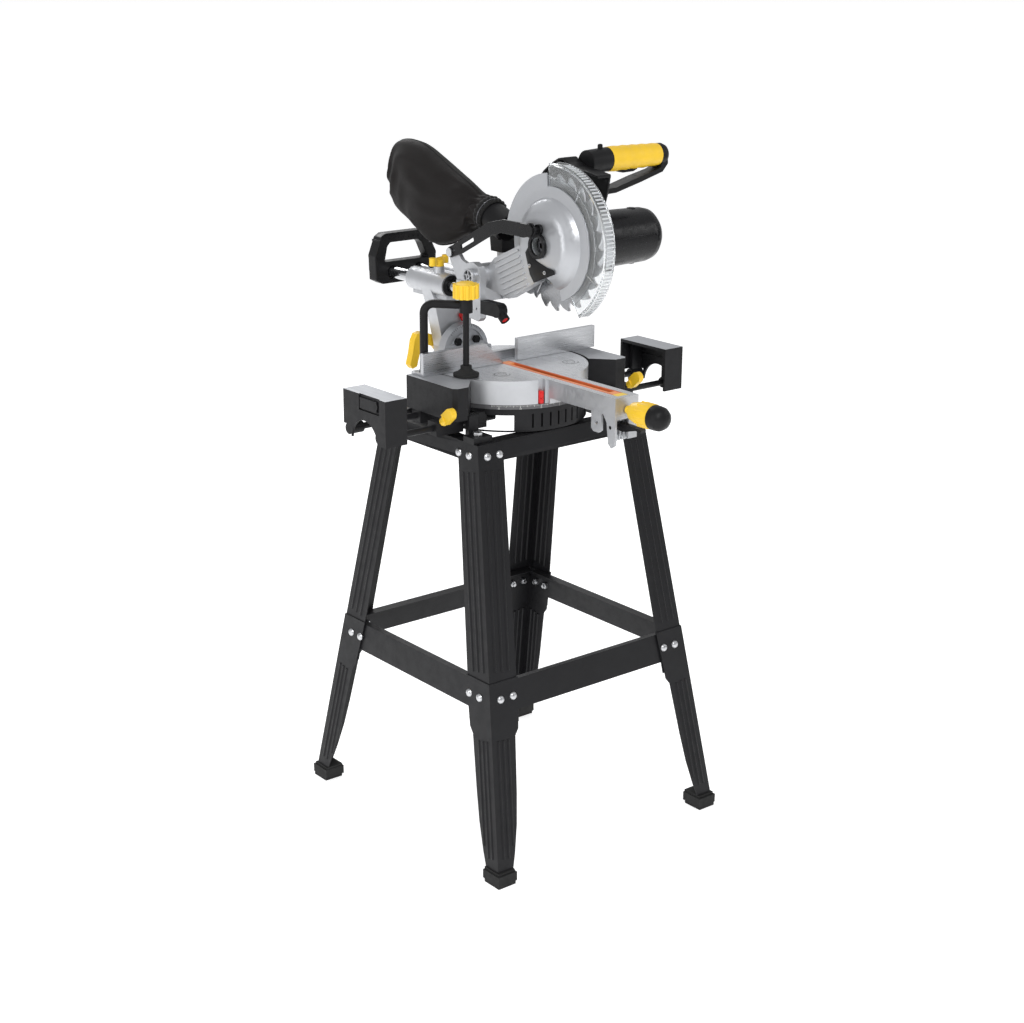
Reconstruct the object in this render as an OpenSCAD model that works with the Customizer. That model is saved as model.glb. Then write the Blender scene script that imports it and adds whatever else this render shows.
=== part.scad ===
// Sliding compound mitre saw, 210 mm blade, bolted on a pressed-steel leg stand.
// Millimetres. X is the operator's right, Y points to the back, Z is up.
// The floor is z = 0. The blade plane is x = saw_x and the fence face is y = 0,
// both before the whole model is shifted so its footprint is centred.

/* [Stand] */
// Height of the flat top of the stand above the floor
stand_h = 680; // [560:5:800]
// Half width between the outer leg corners at the top, left to right
top_x = 171.5; // [160:0.5:190]
// Half width between the outer leg corners at the top, front to back
top_y = 125.4; // [118:0.1:140]
// Half width between the outer leg corners at the floor, left to right
foot_x = 233.5; // [215:0.5:260]
// Half width between the outer leg corners at the floor, front to back
foot_y = 259.2; // [240:0.1:290]
// Thickness of the pressed steel sheet
sheet_t = 1.6; // [1.2:0.1:2]

/* [Saw table] */
// Sideways position of the blade plane from the middle of the stand
saw_x = -11; // [-16:0.5:16]
// Height of the work surface above the top of the stand
table_rise = 85; // [84.5:0.1:86]
// Radius of the turning table
disc_r = 130; // [127:0.5:132]
// Distance from the turning centre to the front end of the table arm
arm_reach = 285; // [270:1:300]
// Half width of the fixed base
base_half_w = 178; // [174:1:184]
// Height of the fence above the table
fence_rise = 37; // [30:1:38]

/* [Saw head] */
// Diameter of the saw blade
blade_d = 210; // [190:1:210]
// Number of blade teeth
blade_teeth = 24; // [16:1:32]
// Height of the blade arbor above the floor with the head up
arbor_z = 974; // [973:0.5:975]
// Fore and aft position of the arbor with the head up
arbor_y = -122; // [-123:0.5:-121]
// Outer radius of the moving guard
guard_r = 121.5; // [119:0.5:122]
// Diameter of the two slide rails
rail_d = 20; // [16:0.5:20]
// Outside diameter of the motor body
motor_d = 90; // [84:1:92]

/* [Work wings] */
// Distance the left wing stands out from the base side
wing_gap_l = 92; // [60:1:120]
// Distance the right wing stands out from the base side
wing_gap_r = 92; // [60:1:120]

/* [Hidden] */
$fn = 48;
H = stand_h;
t = sheet_t;
zt = stand_h + table_rise;
x0 = saw_x;
rail_r = rail_d / 2;
rail_z = 880;
rail_xl = -50;
rail_xr = 6;
piv_y = 23;
piv_z = 909;
mot_y = -97;
mot_z = 966;
off_x = saw_x + (wing_gap_r - wing_gap_l) / 2;
off_y = (-arm_reach - 86 + 290 + 30 * cos(9)) / 2;
crank_r = 26;
crank_a = 95;
link_y = 74;
link_z = 941;
post_x = -165;
post_y = 19;
scr_x = -121;
scr_y = -32;
rod_z = 703;
rod_y1 = -68;
rod_y2 = 12;

// Unit vectors of the front left leg: up along its corner, and across each flange.
function unit(v) = v / norm(v);
leg_v = unit([foot_x - top_x, foot_y - top_y, H]);
leg_u1 = unit([1, 0, 0] - leg_v[0] * leg_v);
leg_u2 = unit([0, 1, 0] - leg_v[1] * leg_v);
tilt_f = atan((foot_y - top_y) / H);
tilt_s = atan((foot_x - top_x) / H);
function up(z, u, x) = (z - x * u[2]) / leg_v[2];

// Which part to draw

// ---------- small helpers ----------
module box(a, b) { translate(a) cube(b - a); }
module xcyl(r, x, y, z, h) { translate([x, y, z]) rotate([0, 90, 0]) cylinder(r = r, h = h); }
module ycyl(r, x, y, z, h) { translate([x, y, z]) rotate([-90, 0, 0]) cylinder(r = r, h = h); }
module zcyl(r, x, y, z, h) { translate([x, y, z]) cylinder(r = r, h = h); }
module yz(xa, xb, pts) {
    multmatrix([[0, 0, 1, xa], [1, 0, 0, 0], [0, 1, 0, 0], [0, 0, 0, 1]]) linear_extrude(height = xb - xa) polygon(pts);
}
module xz(ya, yb, pts) {
    multmatrix([[1, 0, 0, 0], [0, 0, -1, yb], [0, 1, 0, 0], [0, 0, 0, 1]]) linear_extrude(height = yb - ya) polygon(pts);
}
module four() { for (i = [0, 1], j = [0, 1]) mirror([i, 0, 0]) mirror([0, j, 0]) children(); }
module hexprism(af, h) { cylinder(r = af / sqrt(3), h = h, $fn = 6); }

// ---------- stand ----------
module flange_f(pts, th, z) {
    u = leg_u1; n = cross(leg_u1, leg_v);
    multmatrix([[u[0], leg_v[0], n[0], -foot_x], [u[1], leg_v[1], n[1], -foot_y], [u[2], leg_v[2], n[2], 0], [0, 0, 0, 1]])
        translate([0, 0, z]) linear_extrude(height = th) polygon([for (p = pts) [p[0], up(p[1], u, p[0])]]);
}
module flange_s(pts, th, z) {
    u = leg_u2; n = cross(leg_u2, leg_v);
    multmatrix([[u[0], leg_v[0], n[0], -foot_x], [u[1], leg_v[1], n[1], -foot_y], [u[2], leg_v[2], n[2], 0], [0, 0, 0, 1]])
        translate([0, 0, z]) linear_extrude(height = th) polygon([for (p = pts) [p[0], up(p[1], u, p[0])]]);
}
module rib_f(x, za, zb, z) {
    u = leg_u1; n = cross(leg_u1, leg_v);
    multmatrix([[u[0], leg_v[0], n[0], -foot_x], [u[1], leg_v[1], n[1], -foot_y], [u[2], leg_v[2], n[2], 0], [0, 0, 0, 1]])
        translate([x, za / leg_v[2], z]) rotate([-90, 0, 0]) cylinder(r = 2.8, h = (zb - za) / leg_v[2]);
}
module rib_s(x, za, zb, z) {
    u = leg_u2; n = cross(leg_u2, leg_v);
    multmatrix([[u[0], leg_v[0], n[0], -foot_x], [u[1], leg_v[1], n[1], -foot_y], [u[2], leg_v[2], n[2], 0], [0, 0, 0, 1]])
        translate([x, za / leg_v[2], z]) rotate([-90, 0, 0]) cylinder(r = 2.8, h = (zb - za) / leg_v[2]);
}
// frames on the sloping front and side faces: origin at the top edge, local +y into the stand, local z up the slope
module front_face() { translate([0, -top_y, H]) rotate([-tilt_f, 0, 0]) children(); }
module side_face() { translate([-top_x, 0, H]) rotate([0, tilt_s, 0]) rotate([0, 0, -90]) children(); }
function sl_f(z) = (z - H) / cos(tilt_f);
function sl_s(z) = (z - H) / cos(tilt_s);
bolts_f = [[-155, 661], [-131, 661], [-187, 290], [-162, 290]];
bolts_s = [[-106, 661], [-80, 661], [-177, 290], [-151, 290]];
module bolt_axes_f(r, lo, h, top = true, mid = true) {
    for (i = [top ? 0 : 2 : mid ? 3 : 1]) front_face() translate([bolts_f[i][0], lo, sl_f(bolts_f[i][1])]) rotate([-90, 0, 0]) cylinder(r = r, h = h);
}
module bolt_axes_s(r, lo, h, top = true, mid = true) {
    for (i = [top ? 0 : 2 : mid ? 3 : 1]) side_face() translate([-bolts_s[i][0], lo, sl_s(bolts_s[i][1])]) rotate([-90, 0, 0]) cylinder(r = r, h = h);
}
upper_w = [[0, 248], [55, 248], [54, 330], [50, 620], [49.5, H], [0, H]];
module upper_leg() {
    difference() {
        union() {
            flange_f(upper_w, t, -t);
            flange_s(upper_w, t, 0);
            for (x = [13, 26, 39]) { rib_f(x, 334, 640, -1.2); rib_s(x, 334, 640, 1.2); }
        }
        bolt_axes_f(3.3, -6, 14);
        bolt_axes_s(3.3, -6, 14);
    }
}
lower_w = [[-t, 8], [27, 8], [28.5, 22], [34, 48], [40, 90], [43, 140], [45.5, 228], [52, 238], [56, 317.7], [-t, 317.7]];
module lower_plates() {
    flange_f(lower_w, t, 0);
    flange_s(lower_w, t, -t);
}
module lower_leg() {
    difference() {
        union() {
            lower_plates();
            for (x = [11, 21, 31]) { rib_f(x, x > 30 ? 62 : 44, 228, 0.4); rib_s(x, x > 30 ? 62 : 44, 228, -0.4); }
        }
        bolt_axes_f(3.3, -6, 14, false, true);
        bolt_axes_s(3.3, -6, 14, false, true);
    }
}
module upper_legs() { color([0.13, 0.13, 0.14]) four() upper_leg(); }
module lower_legs() { color([0.13, 0.13, 0.14]) four() lower_leg(); }
module top_rail_f() {
    difference() {
        union() {
            front_face() box([-164, t, sl_f(651)], [164, 2 * t, -1]);
            box([-164, -top_y + 1.9, H - t], [164, -top_y + 27, H]);
        }
        bolt_axes_f(3.3, -6, 14);
        mirror([1, 0, 0]) bolt_axes_f(3.3, -6, 14);
        for (s = [-1, 1]) zcyl(4.3, x0 + s * 144, -105, H - 5, 10);
    }
}
module top_rail_s() {
    difference() {
        union() {
            side_face() box([-118, t, sl_s(651)], [118, 2 * t, -0.6]);
            box([-top_x + 1.8, -97, H - t], [-top_x + 27, 97, H]);
        }
        bolt_axes_s(3.3, -6, 14);
        mirror([0, 1, 0]) bolt_axes_s(3.3, -6, 14);
    }
}
module top_rails() {
    color([0.12, 0.12, 0.13]) { for (j = [0, 1]) mirror([0, j, 0]) top_rail_f(); for (i = [0, 1]) mirror([i, 0, 0]) top_rail_s(); }
}
module mid_rail_f() {
    difference() {
        front_face() union() {
            box([-198, t, sl_f(266.5)], [198, 2 * t, sl_f(314)]);
            box([-198, t, sl_f(314) - t], [198, t + 14, sl_f(314)]);
        }
        bolt_axes_f(3.3, -6, 14, false, true);
        mirror([1, 0, 0]) bolt_axes_f(3.3, -6, 14, false, true);
    }
}
module mid_rail_s() {
    difference() {
        side_face() union() {
            box([-190, t, sl_s(266.5)], [190, 2 * t, sl_s(314)]);
            box([-178, t, sl_s(314) - t], [178, t + 14, sl_s(314)]);
        }
        bolt_axes_s(3.3, -6, 14, false, true);
        mirror([0, 1, 0]) bolt_axes_s(3.3, -6, 14, false, true);
    }
}
module mid_rails() {
    color([0.12, 0.12, 0.13]) { for (j = [0, 1]) mirror([0, j, 0]) mid_rail_f(); for (i = [0, 1]) mirror([i, 0, 0]) mid_rail_s(); }
}
module rubber_feet() {
    color([0.06, 0.06, 0.06]) four() difference() {
        translate([-foot_x - 4, -foot_y - 4, 0]) union() {
            translate([1, 1, 0]) cube([34, 36, 8]);
            translate([0, 0, 6]) cube([37, 40, 15]);
            translate([2.5, 3, 21]) cube([32.5, 36, 4]);
        }
        lower_plates();
    }
}
module dome(r) { rotate_extrude() polygon([[0, 0], [r, 0], [r * 0.9, 1.6], [r * 0.62, 3], [r * 0.3, 3.7], [0, 3.8]]); }
module one_bolt(d) {
    rotate([90, 0, 0]) dome(6.6);
    translate([0, 0, 0]) rotate([-90, 0, 0]) cylinder(r = 2.95, h = d);
}
module each_bolt() {
    for (i = [0:3]) {
        front_face() translate([bolts_f[i][0], i > 1 ? -t : 0, sl_f(bolts_f[i][1])]) children();
        side_face() translate([-bolts_s[i][0], i > 1 ? -t : 0, sl_s(bolts_s[i][1])]) children();
    }
}
module stand_bolts() { color([0.8, 0.8, 0.82]) four() each_bolt() one_bolt(14); }
module stand_nuts() {
    color([0.75, 0.75, 0.77]) four() for (i = [0:3]) {
        front_face() translate([bolts_f[i][0], 2 * t, sl_f(bolts_f[i][1])]) rotate([-90, 0, 0]) difference() { hexprism(10, 5); translate([0, 0, -1]) cylinder(r = 2.95, h = 7); }
        side_face() translate([-bolts_s[i][0], 2 * t, sl_s(bolts_s[i][1])]) rotate([-90, 0, 0]) difference() { hexprism(10, 5); translate([0, 0, -1]) cylinder(r = 2.95, h = 7); }
    }
}

// ---------- fixed base, scale and fence ----------
bw = base_half_w;
base_outline = [[104, -40], [124, -61], [152, -92], [bw - 6, -92], [bw, -86], [bw, 34], [104, 34]];
base_inner = [[104, -40], [124, -55], [154, -87], [bw - 5, -87], [bw - 5, 29], [104, 29]];
arm_gap = disc_r + 5;
module base_side() {
    difference() {
        union() {
            difference() {
                translate([0, 0, zt - 52]) linear_extrude(height = 52) polygon(base_outline);
                translate([0, 0, zt - 53]) linear_extrude(height = 47) polygon(base_inner);
            }
            // inner curved wall
            difference() {
                translate([0, 0, zt - 52]) intersection() {
                    cylinder(r = arm_gap + 5, h = 52);
                    linear_extrude(height = 52) polygon(base_outline);
                }
                zcyl(arm_gap - 1, 0, 0, zt - 53, 1);
            }
            // ears that stand on the stand top
            box([126, -118, H], [162, -92, H + 10]);
            box([134, -94, H], [152, -84, zt - 46]);
            box([126, 92, H], [162, 118, H + 10]);
            // lugs that guide the wing rods
            box([bw - 26, rod_y1 - 11, rod_z - 11], [bw - 2, rod_y1 + 11, zt - 50]);
            box([bw - 4, rod_y1 - 11, rod_z - 11], [bw + 26, rod_y1 + 11, rod_z + 11]);
            box([bw - 26, rod_y2 - 11, rod_z - 11], [bw - 2, rod_y2 + 11, zt - 50]);
            box([106, rod_y1 - 11, rod_z - 11], [122, rod_y1 + 11, zt - 48]);
            box([106, rod_y2 - 11, rod_z - 11], [122, rod_y2 + 11, zt - 48]);
            // rear beam down to the rear ear
            box([112, 26, H], [124, 104, H + 30]);
            box([112, 92, H], [140, 104, H + 10]);
            box([112, 20, H], [124, 34, zt - 46]);
            // clamp socket
            zcyl(13, 154 , post_y, zt - 46, 44);
        }
        zcyl(arm_gap, 0, 0, zt - 53, 60);
        for (y = [rod_y1, rod_y2]) xcyl(5.05, 90, y, rod_z, 130);
        zcyl(7.05, 154, post_y, zt - 40, 50);
        zcyl(4.3, 144, -105, H - 1, 20);
        zcyl(4.3, 144, 105, H - 1, 20);
    }
}
module arches() {
    for (a = [-48, 48, 132, 228]) rotate([0, 0, a]) {
        translate([-30, -140, H + 4]) cube([60, 40, 26]);
    }
    for (a = [-21:7:21]) rotate([0, 0, a]) translate([-1.6, -140, H + 9]) cube([3.2, 18, 22]);
}
module base_ring() {
    difference() {
        union() {
            difference() { zcyl(128, 0, 0, H + 3, 36.5); zcyl(121, 0, 0, H + 2, 32.5); }
            zcyl(30, 0, 0, H + 6, 33.5);
            difference() { zcyl(128, 0, 0, H + 33.5, 6); zcyl(28, 0, 0, H + 30, 12); }
            for (a = [0, 90]) rotate([0, 0, a]) box([-124, -4, H + 18], [124, 4, H + 36]);
            for (s = [-1, 1]) box([s < 0 ? -bw + 10 : 120, -50, H + 33.5], [s < 0 ? -120 : bw - 10, 28, H + 39.5]);
        }
        arches();
        zcyl(12.05, 0, 0, H, 50);
        for (s = [-1, 1], y = [rod_y1, rod_y2]) xcyl(7, s < 0 ? -190 : 80, y, rod_z, 110);
    }
}
module saw_base() {
    color([0.14, 0.14, 0.15]) difference() {
        union() {
            translate([x0, 0, 0]) base_ring();
            translate([x0, 0, 0]) for (i = [0, 1]) mirror([i, 0, 0]) base_side();
        }
        // lock screw holes at the wing rods
        for (s = [-1, 1]) translate([x0 + s * (bw + 15), rod_y1, rod_z]) rotate([50, 0, 0]) cylinder(r = 3.05, h = 30);
    }
}
module mitre_scale_ring() {
    color([0.22, 0.22, 0.23]) translate([x0, 0, H + 39.5]) difference() {
        cylinder(r = 129, h = 6.9);
        translate([0, 0, -1]) cylinder(r = 110, h = 9);
    }
}
module fence() {
    fz = zt + 0.4;
    color([0.78, 0.79, 0.8]) difference() {
        union() {
            // left plate with its inner end cut back at a slope
            xz(0.7, 8.7, [[-180, fz], [-19, fz], [-56, zt + fence_rise], [-180, zt + fence_rise]]);
            xz(0.7, 8.7, [[10, fz], [176, fz], [176, zt + fence_rise], [10, zt + fence_rise]]);
            // foot flanges on the base sides
            box([-180, 0.7, zt], [-149, 33, zt + 5]);
            box([128, 0.7, zt], [162, 33, zt + 5]);
            // rear bridge round the blade opening
            box([-150, 20, fz], [-60, 30, zt + 14]);
            box([46, 20, fz], [129, 30, zt + 14]);
            xz(28, 38, [[-62, fz], [48, fz], [48, zt + 14], [-62, zt + 14]]);
            box([-62, 20, fz], [-52, 38, zt + 14]);
            box([38, 20, fz], [48, 38, zt + 14]);
            for (x = [-140, -100, -64, 50, 90, 120]) box([x, 8, fz], [x + 5, 21, zt + 24]);
        }
        for (x = [post_x, x0 + 154]) zcyl(8.5, x, post_y, zt - 2, 20);
    }
}
module base_bolts() {
    color([0.8, 0.8, 0.82]) for (s = [-1, 1], q = [-1, 1]) translate([x0 + s * 144, q * 105, 0]) {
        translate([0, 0, H + 10]) hexprism(13, 5.5);
        translate([0, 0, H - 12]) cylinder(r = 3.95, h = 23);
        translate([0, 0, H - t - 6.5]) hexprism(13, 6.5);
    }
}

// ---------- turning table ----------
ah = 29;
module turntable() {
    color([0.76, 0.77, 0.78]) translate([x0, 0, 0]) difference() {
        union() {
            difference() {
                zcyl(disc_r, 0, 0, zt - 38, 38);
                zcyl(disc_r - 6, 0, 0, zt - 39, 31);
            }
            zcyl(22, 0, 0, zt - 38, 31);
            zcyl(12, 0, 0, H + 4, 45);
            for (a = [45, 135]) rotate([0, 0, a]) box([-126, -3, zt - 26], [126, 3, zt - 7]);
            // front arm
            difference() {
                box([-23.5, -arm_reach, zt - ah], [23.5, -118, zt]);
                box([-18.5, -arm_reach + 6, zt - ah - 1], [18.5, -100, zt - 8]);
            }
            box([-23.5, -134, zt - 38], [23.5, -122, zt - 8]);
            // wall behind the pointer notch
            rotate([0, 0, -15]) box([-10, -disc_r + 6, zt - 38], [10, -disc_r + 13, zt - 7]);
        }
        // recess for the insert, and the blade slot below it
        box([-11, -arm_reach + 9, zt - 5], [11, 10, zt + 1]);
        box([-5, -255, zt - 14.5], [9.5, -34, zt]);
        // notch for the mitre pointer
        rotate([0, 0, -15]) box([-6, -disc_r - 3, zt - 40], [6, -disc_r + 9, zt + 1]);
        // bores for the lock rod
        ycyl(4.05, 0, -arm_reach - 2, zt - 20, 12);
        ycyl(4.05, 0, -136, zt - 20, 16);
        // bore for the bevel pin through the rim
        ycyl(8.05, 0, 109, zt, 40);
        // recessed thumb marks on the table
        for (s = [-1, 1]) translate([s * 68, -58, zt - 0.6]) difference() { cylinder(r = 8, h = 2); translate([0, 0, -1]) cylinder(r = 6.4, h = 4); }
    }
}
module kerf_insert() {
    color([0.78, 0.32, 0.16]) translate([x0, 0, 0]) difference() {
        box([-10.9, -arm_reach + 9.1, zt - 5], [10.9, 9.9, zt]);
        box([-2.8, -248, zt - 6], [8.6, -8, zt + 1]);
    }
}
module mitre_pointer() {
    color([0.75, 0.06, 0.06]) translate([x0, 0, 0]) rotate([0, 0, -15]) {
        box([-4.4, -disc_r + 1, zt - 37.6], [4.4, -disc_r + 9, zt - 18]);
        box([-3, -disc_r - 1.5, zt - 37.6], [3, -disc_r + 2, zt - 30]);
    }
}
module bevel_trunnion() {
    color([0.78, 0.79, 0.8]) translate([x0, 0, 0]) difference() {
        union() {
            intersection() { ycyl(46, 0, 110, zt, 17); box([-50, 100, zt], [50, 140, zt + 50]); }
            box([-50, 106, zt], [50, 118, zt + 6]);
        }
        ycyl(8.05, 0, 100, zt, 40);
        // curved reading slot
        intersection() {
            difference() { ycyl(38, 0, 108, zt, 5); ycyl(31, 0, 107, zt, 7); }
            box([-45, 105, zt + 14], [45, 115, zt + 50]);
        }
        for (a = [-1, 1]) ycyl(3.0, a * 19, 100, zt + 18, 30);
    }
}
module bevel_stop_bolts() {
    color([0.08, 0.08, 0.08]) translate([x0, 0, 0]) for (a = [-1, 1]) {
        translate([a * 19, 110, zt + 18]) rotate([90, 0, 0]) hexprism(12, 6);
        ycyl(2.95, a * 19, 110, zt + 18, 17);
    }
}
module detent_bracket() {
    color([0.72, 0.73, 0.74]) translate([x0, 0, 0]) difference() {
        union() {
            yz(-23.5, -19.5, [[-254, zt - ah], [-254, zt - ah - 27], [-248, zt - ah - 31], [-236, zt - ah - 31], [-231, zt - ah - 26], [-231, zt - ah]]);
            yz(-23.5, -19.5, [[-285, zt - ah], [-285, zt - ah - 44], [-277, zt - ah - 50], [-270, zt - ah - 44], [-266, zt - ah - 12], [-258, zt - ah]]);
            yz(19.5, 23.5, [[-283, zt - ah], [-283, zt - ah - 38], [-262, zt - ah - 38], [-258, zt - ah]]);
            for (y = [-283, -275, -267]) box([6, y, zt - ah - 38], [19.6, y + 4, zt - ah]);
            box([-19.6, -283, zt - ah - 6], [19.6, -264, zt - ah]);
        }
        xcyl(3.05, -24, -243, zt - ah - 16, 6);
        xcyl(3.05, -26, -274, zt - ah - 18, 60);
    }
}
module mitre_lock_handle() {
    yb = -arm_reach - 13;
    color([0.93, 0.75, 0.1]) translate([x0, 0, 0]) union() {
        ycyl(4, 0, yb + 3, zt - 20, 172);
        ycyl(6.5, 0, yb - 1, zt - 20, 12);
        translate([0, yb - 46, zt - 20]) rotate([-90, 0, 0]) rotate_extrude() polygon([[0, 0], [19, 0], [19.5, 8], [19, 18], [17, 32], [14, 44], [12, 46], [0, 46]]);
        for (a = [0:30:330]) translate([0, yb - 44, zt - 20]) rotate([0, a, 0]) translate([18.4, 0, 0]) rotate([-90, 0, 0]) cylinder(r = 1.6, h = 24);
    }
}
module mitre_lock_cap() {
    yb = -arm_reach - 59;
    color([0.1, 0.1, 0.1]) translate([x0, yb - 27, zt - 20]) rotate([-90, 0, 0]) rotate_extrude() polygon([[0, 0], [9, 1.5], [15, 5.5], [18.4, 12], [19, 19], [19, 27], [0, 27]]);
}
module detent_lever() {
    color([0.1, 0.1, 0.1]) translate([x0, 0, 0]) union() {
        yz(-6, 4, [[-270, zt - ah - 12], [-270, zt - ah - 24], [-282, zt - ah - 26], [-312, zt - ah - 18], [-322, zt - ah - 20], [-324, zt - ah - 15], [-312, zt - ah - 14], [-284, zt - ah - 13]]);
        xcyl(2.98, -23, -274, zt - ah - 18, 45);
    }
}

// ---------- bevel arm and rail housing ----------
module bevel_arm() {
    color([0.78, 0.79, 0.8]) difference() {
        union() {
            ycyl(30, x0, 131, zt, 30);
            xz(133, 161, [[x0 - 29, zt + 4], [-60, rail_z - 26], [-68, rail_z - 6], [24, rail_z - 6], [16, rail_z - 26], [x0 + 29, zt + 4]]);
            yz(-30, -14, [[160, rail_z - 70], [190, rail_z - 20], [160, rail_z - 20]]);
            for (x = [rail_xl, rail_xr]) ycyl(19, x, 100, rail_z, 100);
            box([rail_xl, 104, rail_z - 12], [rail_xr, 196, rail_z + 12]);
            box([rail_xl - 6, 104, rail_z - 24], [rail_xr + 6, 196, rail_z - 8]);
            // boss for the slide lock knob
            zcyl(9, rail_xl, 132, rail_z + 8, 20);
        }
        for (x = [rail_xl, rail_xr]) { ycyl(11, x, 95, rail_z, 115); ycyl(13, x, 99, rail_z, 21); ycyl(13, x, 180, rail_z, 21); }
        ycyl(8, x0, 120, zt, 80);
        zcyl(3.05, rail_xl, 132, rail_z + 5, 40);
        // lightening pocket under the housing
        box([-36, 112, rail_z - 30], [-8, 130, rail_z - 14]);
    }
}
module rail_bushes() {
    color([0.1, 0.1, 0.1]) for (x = [rail_xl, rail_xr]) for (y = [0, 1]) translate([x, y == 0 ? 97 : 203, rail_z]) mirror([0, y, 0]) difference() {
        union() { rotate([-90, 0, 0]) cylinder(r = 17, h = 3); rotate([-90, 0, 0]) cylinder(r = 13, h = 22); }
        translate([0, -1, 0]) rotate([-90, 0, 0]) cylinder(r = rail_r + 0.05, h = 30);
    }
}
module bevel_pointer() {
    color([0.75, 0.05, 0.05]) { ycyl(5, -4, 126.9, zt + 56, 6.1); yz(-6, -2, [[126.9, zt + 56], [126.9, zt + 48], [129, zt + 46], [133, zt + 50], [133, zt + 58]]); }
}
module bevel_pin() {
    color([0.6, 0.6, 0.62]) { ycyl(8, x0, 110, zt, 88); ycyl(12, x0, 188.6, zt, 7); }
}
module bevel_lock_lever() {
    color([0.93, 0.75, 0.1]) difference() {
        union() {
            ycyl(14, x0, 168, zt, 20);
            xz(172, 186, [[x0, zt + 12], [-34, zt + 20], [-56, zt + 27], [-66, zt + 25], [-72, zt + 14], [-76, zt - 8], [-81, zt - 26], [-76, zt - 33], [-67, zt - 30], [-61, zt - 8], [-56, zt + 9], [-34, zt], [x0, zt - 12]]);
        }
        ycyl(8.05, x0, 160, zt, 40);
    }
}
module slide_lock_knob() {
    color([0.93, 0.75, 0.1]) union() {
        zcyl(3, rail_xl, 132, rail_z + rail_r + 0.4, 26);
        zcyl(8.5, rail_xl, 132, rail_z + 28.4, 11);
        translate([rail_xl, 132, 0]) rotate([0, 0, 20]) { box([-20, -3.5, rail_z + 32], [20, 3.5, rail_z + 42]); for (s = [-1, 1]) translate([s * 19, 0, rail_z + 31]) cylinder(r = 5.5, h = 13); }
    }
}

// ---------- sliding carriage ----------
module slide_rails() {
    color([0.85, 0.85, 0.87]) for (x = [rail_xl, rail_xr]) ycyl(rail_r, x, 44, rail_z, 228);
}
module rear_carry_handle() {
    color([0.1, 0.1, 0.1]) difference() {
        xz(262, 284, [[-84, rail_z - 12], [-86, rail_z + 30], [-74, rail_z + 60], [-64, rail_z + 66], [12, rail_z + 66], [26, rail_z + 58], [42, rail_z + 26], [40, rail_z - 12], [26, rail_z - 19], [-70, rail_z - 19]]);
        xz(255, 290, [[-66, rail_z + 18], [-60, rail_z + 44], [-54, rail_z + 50], [4, rail_z + 50], [12, rail_z + 44], [24, rail_z + 18]]);
        for (x = [rail_xl, rail_xr]) ycyl(rail_r, x, 255, rail_z, 17);
    }
}
module head_bracket() {
    color([0.76, 0.77, 0.78]) difference() {
        union() {
            box([-68, 42.5, rail_z - 20], [24, 62, rail_z + 18]);
            // left cheek, with the long plate down the front
            yz(-66, -54, [[2, 914], [8, 926], [20, 931], [34, 929], [44, 920], [62, 898], [62, 860], [40, 842], [8, 838], [2, 844]]);
            yz(10.4, 22, [[2, 902], [6, 920], [20, 929], [34, 927], [44, 918], [62, 898], [62, 860], [42, 860], [8, 890]]);
            // horn that carries the guard link
            yz(-66, -59, [[30, 924], [61, 896], [80, 926], [85, 940], [81, 950], [70, 951.5], [63, 945], [50, 931], [40, 928]]);
        }
        for (x = [rail_xl, rail_xr]) ycyl(rail_r, x, 44, rail_z, 30);
        xcyl(7, -80, piv_y, piv_z, 120);
        xcyl(4, -80, link_y, link_z, 30);
        // laser seat screws
        xcyl(2, -70, 12, 858, 20);
    }
}
module chop_pin() {
    color([0.65, 0.65, 0.67]) { xcyl(7, -66, piv_y, piv_z, 88); xcyl(11, -70, piv_y, piv_z, 4); xcyl(10, 22, piv_y, piv_z, 4); }
    color([0.65, 0.65, 0.67]) { xcyl(4, -72, link_y, link_z, 13); xcyl(7, -74.2, link_y, link_z, 2.4); }
}
module laser_unit() {
    color([0.07, 0.07, 0.07]) difference() {
        union() {
            box([-66, -38, 852], [-50, 2, 873]);
            xcyl(11, -66, -36, 862, 16);
            translate([-58, -38, 859]) rotate([128, 0, 0]) cylinder(r = 8, h = 17);
        }
        translate([-58, -38, 859]) rotate([128, 0, 0]) translate([0, 0, 11]) cylinder(r = 5.5, h = 14);
    }
}
module laser_lens() {
    color([0.75, 0.05, 0.05]) translate([-58, -38, 859]) rotate([128, 0, 0]) translate([0, 0, 11]) cylinder(r = 5.5, h = 5);
}

// ---------- tilting head ----------
module head_casting() {
    color([0.77, 0.78, 0.79]) difference() {
        union() {
            xcyl(18, -53.6, piv_y, piv_z, 63.6);
            // left arm to the blade cover
            yz(-45, -27, [[9, 924], [-7, 940], [-70, 968], [-92, 986], [-108, 950], [-110, 916], [-42, 880], [4, 889], [23, 891], [36, 897], [40, 912], [30, 926]]);
            // cooling ribs
            for (i = [0:6]) translate([0, piv_y, piv_z]) rotate([-24.1, 0, 0]) translate([-48, -104, -46 + i * 9]) cube([4, 62, 3]);
            // right arm and gear case
            yz(0.4, 10, [[9, 924], [-10, 938], [-50, 962], [-60, 990], [-140, 1010], [-160, 980], [-150, 940], [-110, 916], [-42, 882], [4, 889], [23, 891], [36, 897], [40, 912], [30, 926]]);
            difference() {
                xcyl(50, 0.4, arbor_y + 8, arbor_z - 3, 45.8);
                xcyl(44, 8, arbor_y + 8, arbor_z - 3, 40);
            }
            // carrier for the dust chute
            yz(0.4, 9.4, [[-10, 930], [-10, 942], [44, 942], [40, 912]]);
        }
        // running bores: chop pin, spindle, armature nose
        xcyl(7.05, -60, piv_y, piv_z, 80);
        xcyl(7.55, -2, arbor_y, arbor_z, 20);
        xcyl(4.05, -2, mot_y, mot_z, 12);
    }
}
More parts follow.
